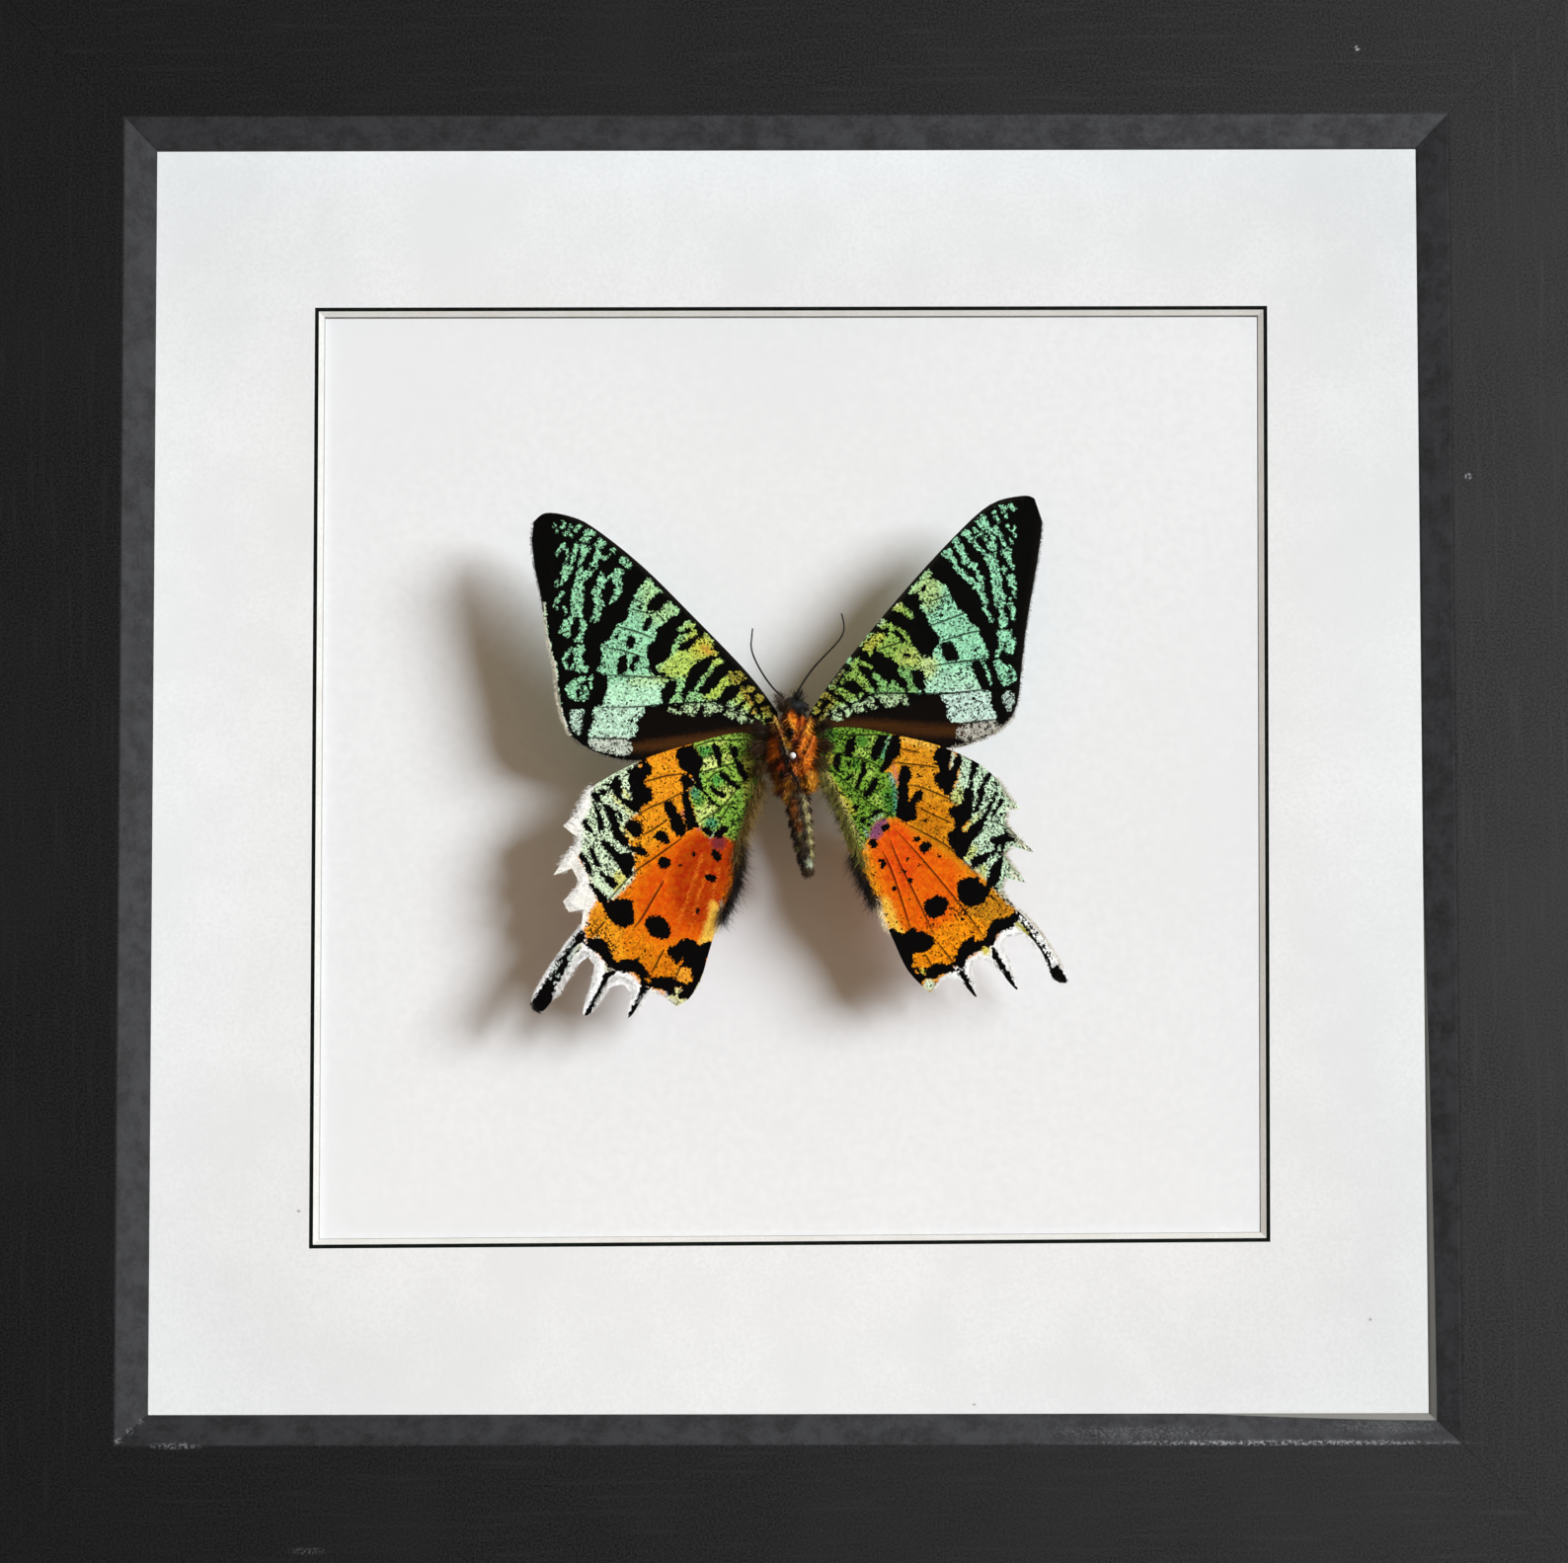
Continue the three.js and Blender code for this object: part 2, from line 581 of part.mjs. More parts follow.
function wing(outline, forward) {
  const cutter = toSolid(plate(outline, glassBackY, boardFrontY));
  const clear = toSolid(ellipsoid(thoraxCentre, THORAX_RADII, ROOT_GAP));
  return toGeometry(wingSheet(outline, forward).intersect(cutter).subtract(clear));
}

addMesh(sheets, 'left_forewing', wing(LEFT_FOREWING, 0), 'forewing');
addMesh(sheets, 'right_forewing', wing(RIGHT_FOREWING, 0), 'forewing');
addMesh(sheets, 'left_hindwing', wing(LEFT_HINDWING, HINDWING_STEP), 'hindwing');
addMesh(sheets, 'right_hindwing', wing(RIGHT_HINDWING, HINDWING_STEP), 'hindwing');

export default part;
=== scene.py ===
# %% [markdown]
# # A framed moth, dressed around its solid model
# The solid model gives every size: a black box frame, a pane of glass, a white mat and one pinned moth.
# This lesson keeps that frame of reference and makes each piece look like the real thing.
# The first cell loads the solids and hangs them on their bodies.

import json
import math

import bpy
import numpy as np
from mathutils import Matrix, Vector

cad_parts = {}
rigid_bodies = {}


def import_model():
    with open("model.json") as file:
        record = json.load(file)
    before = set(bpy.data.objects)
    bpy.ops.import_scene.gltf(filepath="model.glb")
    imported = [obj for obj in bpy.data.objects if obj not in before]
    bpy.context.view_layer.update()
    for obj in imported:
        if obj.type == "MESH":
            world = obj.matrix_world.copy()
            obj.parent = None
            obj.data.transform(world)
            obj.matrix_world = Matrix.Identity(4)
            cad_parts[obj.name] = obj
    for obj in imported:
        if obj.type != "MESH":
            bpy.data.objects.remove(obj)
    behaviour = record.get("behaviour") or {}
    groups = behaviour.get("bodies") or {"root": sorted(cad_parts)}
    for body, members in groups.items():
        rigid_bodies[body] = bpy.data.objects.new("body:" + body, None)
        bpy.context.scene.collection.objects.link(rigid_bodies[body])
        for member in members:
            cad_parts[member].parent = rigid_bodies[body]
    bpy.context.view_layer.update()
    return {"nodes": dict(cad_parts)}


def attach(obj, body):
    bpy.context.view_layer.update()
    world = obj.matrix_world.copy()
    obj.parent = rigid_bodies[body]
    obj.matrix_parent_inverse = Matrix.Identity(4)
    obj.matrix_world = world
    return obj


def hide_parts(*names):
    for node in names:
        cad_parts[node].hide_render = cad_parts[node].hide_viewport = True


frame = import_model()
nodes = frame["nodes"]
MM = 0.001

# %% [markdown]
# ## Small tools
# Operators act on whatever is selected, so a clean selection comes before each new primitive.
# A finished piece keeps its place in its mesh, stands for its solid and rides on the one body.
# Colours are written as the screen shows them and turned into the linear values that shaders use.
# Numbers that belong to single points of a mesh are stored with it as named attributes.

# %% Selection, finishing, colour and attribute helpers
def deselect_all():
    if bpy.context.object and bpy.context.object.mode != "OBJECT":
        object_mode()
    for item in bpy.context.selected_objects:
        item.select_set(False)


def make_active(piece):
    deselect_all()
    piece.select_set(True)
    bpy.context.view_layer.objects.active = piece


def edit_mode():
    bpy.ops.object.mode_set(mode="EDIT")


def object_mode():
    bpy.ops.object.mode_set(mode="OBJECT")


def added(name):
    piece = bpy.context.object
    piece.name = name
    piece.data.name = name
    return piece


def freeze_place(piece):
    make_active(piece)
    bpy.ops.object.transform_apply(location=True, rotation=True, scale=True)


def apply_modifiers(piece):
    make_active(piece)
    for modifier in list(piece.modifiers):
        bpy.ops.object.modifier_apply(modifier=modifier.name)


def face_outward(piece):
    make_active(piece)
    edit_mode()
    bpy.ops.mesh.select_all(action="SELECT")
    bpy.ops.mesh.normals_make_consistent(inside=False)
    object_mode()


def stand_for(piece, slot, *solids):
    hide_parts(*solids)
    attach(piece, "root")


def linear(code):
    shown = [int(code[i : i + 2], 16) / 255 for i in (1, 3, 5)]
    return [c / 12.92 if c <= 0.04045 else ((c + 0.055) / 1.055) ** 2.4 for c in shown]


def vertex_places(mesh):
    places = np.empty(len(mesh.vertices) * 3)
    mesh.vertices.foreach_get("co", places)
    return places.reshape(-1, 3)


def face_vectors(mesh, kind):
    values = np.empty(len(mesh.polygons) * 3)
    mesh.polygons.foreach_get(kind, values)
    return values.reshape(-1, 3)


def store(mesh, name, kind, values):
    key = {"FLOAT": "value", "FLOAT_VECTOR": "vector", "FLOAT_COLOR": "color"}[kind]
    mesh.attributes.new(name, kind, "POINT").data.foreach_set(key, np.ravel(values))


def store_colours(mesh, name, colours):
    store(mesh, name, "FLOAT_COLOR", np.column_stack((colours, np.ones(len(colours)))))


print("helpers ready")

# %% [markdown]
# ## Camera
# The photograph was taken from about a metre away with a long lens, a little below the middle of the
# frame. The place, tilt and lens were found by matching the corners of the frame's opening and of the
# mat's window.

# %% Camera
CAMERA_PLACE = (0.00233, -1.01642, 0.02484)
CAMERA_TILT = math.radians(95.39)
CAMERA_PAN = math.radians(0.16)
CAMERA_ROLL = math.radians(-0.10)
LENS_MM = 154.2
SENSOR_MM = 36
NEAREST_SEEN = 0.01

deselect_all()
bpy.ops.object.camera_add()
camera = bpy.context.object
camera.name = "photo_camera"
camera.data.lens = LENS_MM
camera.data.sensor_width = SENSOR_MM
camera.data.clip_start = NEAREST_SEEN
turn = Matrix.Rotation(CAMERA_TILT, 4, "X") @ Matrix.Rotation(CAMERA_PAN, 4, "Y")
turn = turn @ Matrix.Rotation(CAMERA_ROLL, 4, "Z")
camera.matrix_world = Matrix.Translation(CAMERA_PLACE) @ turn
bpy.context.scene.camera = camera
bpy.context.scene.view_settings.view_transform = "Standard"
print("camera at", CAMERA_PLACE, "with a", LENS_MM, "mm lens")

# %% [markdown]
# ## Light and floor
# The moth's shadow falls far to the left and a little down, with a soft edge, so the main light is broad,
# to the right and slightly above. The frame's lip throws no shadow on the mat in the photograph.
# Light linking gives that: one pair of lights reaches what lies behind the glass and is stopped only by the
# moth. The frame has lights of its own: a window-like panel at the right, which falls off towards the left
# rail, a dim one that glances in from the left, and one behind that shows the back in other views.
# The floor is lit by itself, so that it stays pale from every side and adds nothing to the frame.

# %% Lights, world and floor
TO_KEY = Vector((1.31, -1.0, 0.48)).normalized()
TO_FILL = Vector((0.1, -1.0, 0.35)).normalized()
TO_GLANCE = Vector((-1.0, -0.25, 0.1)).normalized()
TO_BACK = Vector((-0.45, 1.0, 0.8)).normalized()
TO_FLOOR = Vector((0.25, -0.3, 1.0)).normalized()
KEY_COLOUR = (0.945, 1.0, 1.07)
FILL_COLOUR = (1.42, 1.0, 0.66)
WORLD_COLOUR = (1.0, 0.93, 0.82, 1)
WALL_COLOUR = (0.72, 0.71, 0.69, 1)
NEUTRAL = (1.0, 1.0, 1.0)
ROOM_STRENGTH = 0.02
PANEL_PLACE = Vector((0.30, -0.32, 0.12))
PANEL_AIM = PANEL_PLACE - Vector((0, 0, 0.12))
PANEL_STRENGTH = 3.0
PANEL_SIZE = 0.35
FLOOR_SIZE = 6
FLOOR_CELLS = 8
FLOOR_HEIGHT = -0.4 * MM

behind_glass = bpy.data.collections.new("behind_glass")
moth_and_boards = bpy.data.collections.new("moth_and_boards")
moth = bpy.data.collections.new("moth")
outside = bpy.data.collections.new("outside")
floor_only = bpy.data.collections.new("floor_only")


def add_light(kind, name, toward, strength, colour, receivers, blockers=None):
    deselect_all()
    bpy.ops.object.light_add(type=kind, rotation=toward.to_track_quat("Z", "Y").to_euler())
    lamp = bpy.context.object
    lamp.name = name
    lamp.data.energy = strength
    lamp.data.color = colour
    lamp.light_linking.receiver_collection = receivers
    if blockers is not None:
        lamp.light_linking.blocker_collection = blockers
    return lamp


# Each row: name, direction, strength, spread in degrees, colour, what it reaches, what can stop it
SUNS = (
    ("key_on_moth", TO_KEY, 4.55, 25, KEY_COLOUR, moth_and_boards, moth),
    ("fill_on_moth", TO_FILL, 0.56, 140, FILL_COLOUR, behind_glass, moth),
    ("glance_on_frame", TO_GLANCE, 0.3, 60, NEUTRAL, outside, None),
    ("light_on_back", TO_BACK, 2.2, 60, NEUTRAL, outside, None),
    ("light_on_floor", TO_FLOOR, 3.2, 80, NEUTRAL, floor_only, None),
)
for name, toward, strength, spread, colour, receivers, blockers in SUNS:
    sun = add_light("SUN", name, toward, strength, colour, receivers, blockers)
    sun.data.angle = math.radians(spread)
panel = add_light("AREA", "panel_on_frame", PANEL_AIM, PANEL_STRENGTH, NEUTRAL, outside)
panel.location = PANEL_PLACE
panel.data.size = PANEL_SIZE

world = bpy.data.worlds.new("soft_room")
bpy.context.scene.world = world
world.use_nodes = True
world_nodes = world.node_tree.nodes
dim_room = world_nodes["Background"]
dim_room.inputs["Color"].default_value = WORLD_COLOUR
dim_room.inputs["Strength"].default_value = ROOM_STRENGTH
pale_wall = world_nodes.new("ShaderNodeBackground")
pale_wall.inputs["Color"].default_value = WALL_COLOUR
seen = world_nodes.new("ShaderNodeLightPath")
either = world_nodes.new("ShaderNodeMixShader")
world_links = world.node_tree.links
world_links.new(seen.outputs["Is Camera Ray"], either.inputs[0])
world_links.new(dim_room.outputs[0], either.inputs[1])
world_links.new(pale_wall.outputs[0], either.inputs[2])
world_links.new(either.outputs[0], world_nodes["World Output"].inputs["Surface"])

deselect_all()
bpy.ops.mesh.primitive_grid_add(x_subdivisions=FLOOR_CELLS, y_subdivisions=FLOOR_CELLS, size=FLOOR_SIZE,
                                location=(0, 0, FLOOR_HEIGHT))
floor = added("floor")
floor.visible_diffuse = False
floor.visible_glossy = False
freeze_place(floor)
floor_only.objects.link(floor)
print("six linked lights, a dim world with a pale wall and a floor")

# %% [markdown]
# ## Building materials
# Every finish here is a small web of nodes. A short helper adds a node with its values set, and another
# joins two sockets, so that each material below reads as a list of what it is made of.

# %% Node helpers
def add_node(tree, kind, label=None, **values):
    made = tree.nodes.new("ShaderNode" + kind)
    if label:
        made.label = label
    for key, value in values.items():
        if hasattr(made, key):
            setattr(made, key, value)
        else:
            made.inputs[key.replace("_", " ")].default_value = value
    return made


def join(tree, source, target):
    tree.links.new(source, target)


def new_finish(name, roughness=0.5, specular=0.5, metallic=0.0):
    finish = bpy.data.materials.new(name)
    finish.use_nodes = True
    shader = finish.node_tree.nodes["Principled BSDF"]
    shader.inputs["Roughness"].default_value = roughness
    shader.inputs["Specular IOR Level"].default_value = specular
    shader.inputs["Metallic"].default_value = metallic
    return finish, finish.node_tree, shader


def mix_colours(tree, factor, first, second):
    mixer = add_node(tree, "Mix", data_type="RGBA")
    sockets = [mixer.inputs[0], mixer.inputs[6], mixer.inputs[7]]
    for socket, value in zip(sockets, (factor, first, second)):
        if isinstance(value, bpy.types.NodeSocket):
            join(tree, value, socket)
        elif socket.type == "RGBA":
            socket.default_value = (*value, 1)
        else:
            socket.default_value = value
    return mixer.outputs[2]


def do_math(tree, operation, first, second=0.0):
    step = add_node(tree, "Math", operation=operation)
    for socket, value in zip(step.inputs, (first, second)):
        if isinstance(value, bpy.types.NodeSocket):
            join(tree, value, socket)
        else:
            socket.default_value = value
    return step.outputs[0]


def remap(tree, value, low, high, to_low=0.0, to_high=1.0):
    step = add_node(tree, "MapRange", interpolation_type="SMOOTHSTEP")
    join(tree, value, step.inputs[0])
    for socket, number in zip(step.inputs[1:5], (low, high, to_low, to_high)):
        socket.default_value = number
    return step.outputs[0]


def object_place(tree):
    return add_node(tree, "TexCoord").outputs["Object"]


def noise(tree, place, scale, detail=3.0, roughness=0.55):
    texture = add_node(tree, "TexNoise", Scale=scale, Detail=detail, Roughness=roughness)
    join(tree, place, texture.inputs["Vector"])
    return texture.outputs["Fac"]


def times(tree, first, second):
    return do_math(tree, "MULTIPLY", first, second)


def plus(tree, first, second):
    return do_math(tree, "ADD", first, second)


def set_colour(tree, shader, tone):
    join(tree, tone, shader.inputs["Base Color"])


def add_bump(tree, shader, height, strength, distance):
    bump = add_node(tree, "Bump", Strength=strength, Distance=distance)
    join(tree, height, bump.inputs["Height"])
    join(tree, bump.outputs["Normal"], shader.inputs["Normal"])


print("node helpers ready")

# %% [markdown]
# ## Paper that is not quite even
# The mat, the board, the spacers and the floor are all pale and matt, with a faint mottling and a fine
# tooth. A shader node group holds that once. Each material sets its own colours and scales, and three of
# them also press the tooth into the surface a little.

# %% Paper group
def paper_group():
    group = bpy.data.node_groups.new("paper_tooth", "ShaderNodeTree")
    face = group.interface
    for name in ("Light Colour", "Dark Colour"):
        face.new_socket(name, in_out="INPUT", socket_type="NodeSocketColor")
    for name in ("Mottle Scale", "Tooth Scale"):
        face.new_socket(name, in_out="INPUT", socket_type="NodeSocketFloat")
    face.new_socket("Colour", in_out="OUTPUT", socket_type="NodeSocketColor")
    face.new_socket("Height", in_out="OUTPUT", socket_type="NodeSocketFloat")
    given = group.nodes.new("NodeGroupInput")
    result = group.nodes.new("NodeGroupOutput")
    place = object_place(group)
    mottle = add_node(group, "TexNoise", Detail=2.0, Roughness=0.6)
    tooth = add_node(group, "TexNoise", Detail=1.0, Roughness=0.7)
    join(group, place, mottle.inputs["Vector"])
    join(group, place, tooth.inputs["Vector"])
    join(group, given.outputs["Mottle Scale"], mottle.inputs["Scale"])
    join(group, given.outputs["Tooth Scale"], tooth.inputs["Scale"])
    blend = times(group, mottle.outputs["Fac"], tooth.outputs["Fac"])
    share = remap(group, blend, 0.12, 0.42)
    colour = mix_colours(group, share, given.outputs["Dark Colour"], given.outputs["Light Colour"])
    join(group, colour, result.inputs["Colour"])
    join(group, tooth.outputs["Fac"], result.inputs["Height"])
    return group


PAPER = paper_group()
TOOTH_STRENGTH = 0.25


def paper_finish(name, light, dark, mottle_scale, tooth_scale, depth=None):
    finish, tree, shader = new_finish(name, roughness=0.9, specular=0.15)
    paper = tree.nodes.new("ShaderNodeGroup")
    paper.node_tree = PAPER
    paper.inputs["Light Colour"].default_value = (*linear(light), 1)
    paper.inputs["Dark Colour"].default_value = (*linear(dark), 1)
    paper.inputs["Mottle Scale"].default_value = mottle_scale
    paper.inputs["Tooth Scale"].default_value = tooth_scale
    set_colour(tree, shader, paper.outputs["Colour"])
    if depth is not None:
        add_bump(tree, shader, paper.outputs["Height"], TOOTH_STRENGTH, depth)
    return finish


MAT_WHITE = paper_finish("mat_white", "#f3f3f2", "#ebebea", 60, 1800)
BOARD_WHITE = paper_finish("board_white", "#f3f3f3", "#eeeeee", 14, 900)
CORE_WHITE = paper_finish("mat_core_white", "#eae9e5", "#e1dfd8", 200, 2600, 0.00008)
# The steep edge of the window: the same core paper darkened as painted shade.
CORE_PAINTED_SHADE = paper_finish("mat_core_dim", "#b0aeaa", "#a2a09c", 200, 2600)
CARD_WHITE = paper_finish("spacer_card", "#eeece8", "#e2e0da", 40, 1500, 0.00005)
FLOOR_PALE = paper_finish("pale_floor", "#e6e4e0", "#dcd9d4", 3, 300, 0.0002)
floor.data.materials.append(FLOOR_PALE)
print("six papers from one group")

# %% [markdown]
# ## The frame's rails
# Four lengths of one moulding meet at mitred corners. The front is flat, slopes in towards the opening
# and ends in a thin lip; behind the lip a deep step holds the sheets. A circle of eight points is moved
# onto that section, extruded across the frame and cut by two slanting planes. One rail is modelled, and
# the other three are quarter turns of it.

# %% Rail section and length
FRAME_SIZE = 240 * MM
FRAME_CENTRE = Vector((0, 0, FRAME_SIZE / 2))
RAIL_SECTION = [(0, -19), (1, -20), (20.5, -20), (25, -16.5), (25, -15), (17.75, -15), (17.75, 20), (0, 20)]
CLOSE = 1e-6

deselect_all()
bpy.ops.mesh.primitive_circle_add(vertices=len(RAIL_SECTION), radius=12 * MM, fill_type="NGON")
rail = added("frame_top_rail")
for vertex, (inward, depth) in zip(rail.data.vertices, RAIL_SECTION):
    vertex.co = (-FRAME_SIZE / 2, depth * MM, FRAME_SIZE - inward * MM)
edit_mode()
bpy.ops.mesh.select_all(action="SELECT")
bpy.ops.mesh.extrude_region_move(TRANSFORM_OT_translate={"value": (FRAME_SIZE, 0, 0)})
for side in (1, -1):
    bpy.ops.mesh.select_all(action="SELECT")
    bpy.ops.mesh.bisect(plane_co=FRAME_CENTRE, plane_no=(side, 0, -1), use_fill=True, clear_outer=True)
face_outward(rail)
print("rail has", len(rail.data.vertices), "points after its mitres")

# %% [markdown]
# ## Slots and softened edges
# Steel tabs are pushed into small slots behind the sheets, so two slots are cut from the rail by a
# boolean. Paint rounds every edge: the long edges get a wide bevel and the mitre edges a narrow one,
# which leaves the hairline that shows where two rails meet. Edge weights tell the bevel modifier which is
# which. Weighted normals then keep the broad faces shaded flat, so that all four fronts look like one
# plane.

# %% Slots, bevel and grain place
TAB_OFFSET = 55 * MM
SLOT_SIZE = Vector((5.6, 1.1, 7.3)) * MM
SLOT_HEIGHT = FRAME_CENTRE.z + 101.25 * MM + SLOT_SIZE.z / 2
SLOT_DEPTH_PLACE = 18.125 * MM
EDGE_ROUND = 0.4 * MM
MITRE_WEIGHT = 0.22
LONG_EDGE = 100 * MM
SMOOTH_BELOW = math.radians(25)


def on_mitre(point):
    return abs(abs(point.x) - point.z + FRAME_CENTRE.z) < CLOSE


for offset in (-TAB_OFFSET, TAB_OFFSET):
    deselect_all()
    place = (offset, SLOT_DEPTH_PLACE, SLOT_HEIGHT)
    bpy.ops.mesh.primitive_cube_add(size=1, location=place, scale=SLOT_SIZE)
    cutter = added("slot_cutter")
    freeze_place(cutter)
    slot_cut = rail.modifiers.new("slot", "BOOLEAN")
    slot_cut.object = cutter
    slot_cut.solver = "EXACT"
    apply_modifiers(rail)
    bpy.data.objects.remove(cutter)

weights = rail.data.attributes.new("bevel_weight_edge", "FLOAT", "EDGE")
for edge in rail.data.edges:
    first, second = (rail.data.vertices[i].co for i in edge.vertices)
    if abs(first.x - second.x) > LONG_EDGE:
        weights.data[edge.index].value = 1.0
    elif on_mitre(first) and on_mitre(second):
        weights.data[edge.index].value = MITRE_WEIGHT
rounding = rail.modifiers.new("paint_rounded", "BEVEL")
rounding.width = EDGE_ROUND
rounding.segments = 2
rounding.limit_method = "WEIGHT"
rounding.use_clamp_overlap = True
apply_modifiers(rail)
make_active(rail)
bpy.ops.object.shade_smooth_by_angle(angle=SMOOTH_BELOW)
flat_faces = rail.modifiers.new("flat_faces", "WEIGHTED_NORMAL")
flat_faces.keep_sharp = True
apply_modifiers(rail)
store(rail.data, "grain_place", "FLOAT_VECTOR", vertex_places(rail.data))
print("rail finished with", len(rail.data.polygons), "faces")

# %% [markdown]
# ## Black satin paint
# The wood is sprayed black, with a fine grit and faint streaks of grain that run along each rail. The
# slope is paler through a painted sheen mottled like rubbed paint, a few scuffs and specks show bare
# primer, painted highlights run along the lower left mitre, and a sliver of unpainted lip widens towards
# the lower right corner. The grain reads each rail's own place attribute, so it follows the wood on all
# four sides.

# %% Paint material
# Each row: middle across and up, half its width and height, all in millimetres, and its strength
# The three rows on the lower left mitre are painted highlights along the joint, the two faint wide rows
# brighten the bottom slope, and the others are scuffs and specks of bare primer.
SCUFFS_AND_HIGHLIGHTS = (
    ((-90.5, 20.4), (4.6, 0.6), 0.6),
    ((-71.0, 5.0), (3.4, 0.7), 0.25),
    ((-98.9, 21.1), (0.8, 0.6), 0.7),
    ((-97.4, 22.6), (0.7, 0.6), 0.6),
    ((-96.0, 24.0), (0.6, 0.5), 0.5),
    ((72.0, 20.7), (32.0, 0.5), 0.65),
    ((52.0, 22.2), (18.0, 1.4), 0.16),
    ((88.0, 23.0), (12.0, 1.2), 0.13),
    ((86.0, 229.6), (0.5, 0.5), 1.0),
    ((102.0, 164.5), (0.6, 0.6), 1.0),
)
SIGHT_EDGE = FRAME_CENTRE.z + 95 * MM
SLOPE_TOP = FRAME_CENTRE.z + 99.5 * MM
SLOPE_SOFT = 0.2 * MM
BARE_WIDTH = 1.1 * MM
BARE_SOFT = 0.1 * MM
LIP_RIGHT = 94.9 * MM
LIP_BOTTOM = 25.1 * MM
STREAK_SCALE = (60, 1100, 1100)


def spot_mask(tree, place, spots):
    total = None
    for (across, up), (half_width, half_height), strength in spots:
        spot = add_node(tree, "Mapping")
        spot.inputs["Location"].default_value = (-across / half_width, 0, -up / half_height)
        spot.inputs["Scale"].default_value = (1 / (half_width * MM), 0, 1 / (half_height * MM))
        join(tree, place, spot.inputs["Vector"])
        reach = add_node(tree, "VectorMath", operation="LENGTH")
        join(tree, spot.outputs["Vector"], reach.inputs[0])
        mark = remap(tree, reach.outputs["Value"], 0.3, 1.1, strength, 0.0)
        total = mark if total is None else do_math(tree, "MAXIMUM", total, mark)
    return total


PAINT, tree, shader = new_finish("black_satin_paint", roughness=0.5, specular=0.08)
place = object_place(tree)
own_place = add_node(tree, "Attribute", attribute_name="grain_place")
streak_map = add_node(tree, "Mapping")
streak_map.inputs["Scale"].default_value = STREAK_SCALE
join(tree, own_place.outputs["Vector"], streak_map.inputs["Vector"])
streaks = noise(tree, streak_map.outputs["Vector"], 1.0, 3.0, 0.6)
clouds = noise(tree, place, 35, 2.0, 0.6)
grit = noise(tree, place, 3000, 2.0, 0.8)
tone = mix_colours(tree, remap(tree, grit, 0.3, 0.7), linear("#19191a"), linear("#363637"))
tone = mix_colours(tree, remap(tree, streaks, 0.5, 0.75, 0.0, 0.45), tone, linear("#3a3a3b"))
tone = mix_colours(tree, remap(tree, clouds, 0.4, 0.7, 0.0, 0.4), tone, linear("#313132"))
inward = add_node(tree, "SeparateXYZ")
join(tree, own_place.outputs["Vector"], inward.inputs[0])
# The slope is made paler by a painted sheen, mottled like rubbed paint.
on_slope = remap(tree, inward.outputs["Z"], SLOPE_TOP - SLOPE_SOFT, SLOPE_TOP + SLOPE_SOFT, 1.0, 0.0)
wear_and_sheen = remap(tree, noise(tree, place, 260, 3.0, 0.75), 0.3, 0.7, 0.2, 0.55)
tone = mix_colours(tree, on_slope, tone, mix_colours(tree, wear_and_sheen, tone, linear("#5c5d60")))
whole = add_node(tree, "SeparateXYZ")
join(tree, place, whole.inputs[0])
on_right = do_math(tree, "GREATER_THAN", whole.outputs["X"], LIP_RIGHT)
on_bottom = do_math(tree, "LESS_THAN", whole.outputs["Z"], LIP_BOTTOM)
narrowing = remap(tree, whole.outputs["Z"], 20 * MM, 190 * MM, BARE_WIDTH, -BARE_WIDTH)
widening = remap(tree, whole.outputs["X"], 20 * MM, 98 * MM, -BARE_WIDTH, BARE_WIDTH)
bare_right = times(tree, on_right, narrowing)
bare_bottom = times(tree, on_bottom, widening)
bare = do_math(tree, "SUBTRACT", do_math(tree, "MAXIMUM", bare_right, bare_bottom), inward.outputs["Z"])
bare = remap(tree, bare, -SIGHT_EDGE, BARE_SOFT - SIGHT_EDGE, 0.0, 0.85)
tone = mix_colours(tree, bare, tone, linear("#94938e"))
broken = remap(tree, noise(tree, place, 2300, 2.0, 0.8), 0.45, 0.62)
# Scuffs, specks and painted highlights, broken up by noise.
scuffs_and_highlights = times(tree, spot_mask(tree, place, SCUFFS_AND_HIGHLIGHTS), broken)
tone = mix_colours(tree, scuffs_and_highlights, tone, linear("#b4b5b8"))
set_colour(tree, shader, tone)
join(tree, remap(tree, grit, 0.2, 0.8, 0.45, 0.6), shader.inputs["Roughness"])

RAIL_NAMES = ("top", "left", "bottom", "right")
about_centre = Matrix.Translation(FRAME_CENTRE)
for quarter, side_name in enumerate(RAIL_NAMES):
    piece = rail
    if quarter:
        piece = rail.copy()
        piece.data = rail.data.copy()
        piece.name = f"frame_{side_name}_rail"
        piece.data.name = piece.name
        bpy.context.collection.objects.link(piece)
        quarter_turn = Matrix.Rotation(-quarter * math.pi / 2, 4, "Y")
        piece.data.transform(about_centre @ quarter_turn @ about_centre.inverted())
for side_name in RAIL_NAMES:
    piece = bpy.data.objects[f"frame_{side_name}_rail"]
    piece.data.materials.append(PAINT)
    stand_for(piece, "black_wood", f"frame_{side_name}")
    outside.objects.link(piece)
print("four rails painted")

# %% [markdown]
# ## The window mat
# The mat is a sheet of white board with a window cut in it. A dark inked line runs round the cut, then a
# narrow strip of pale core that slopes a little, then a steep edge down to the board behind. A plane is
# inset once for each of those steps, further in and deeper, and its rim is pulled back and bridged.

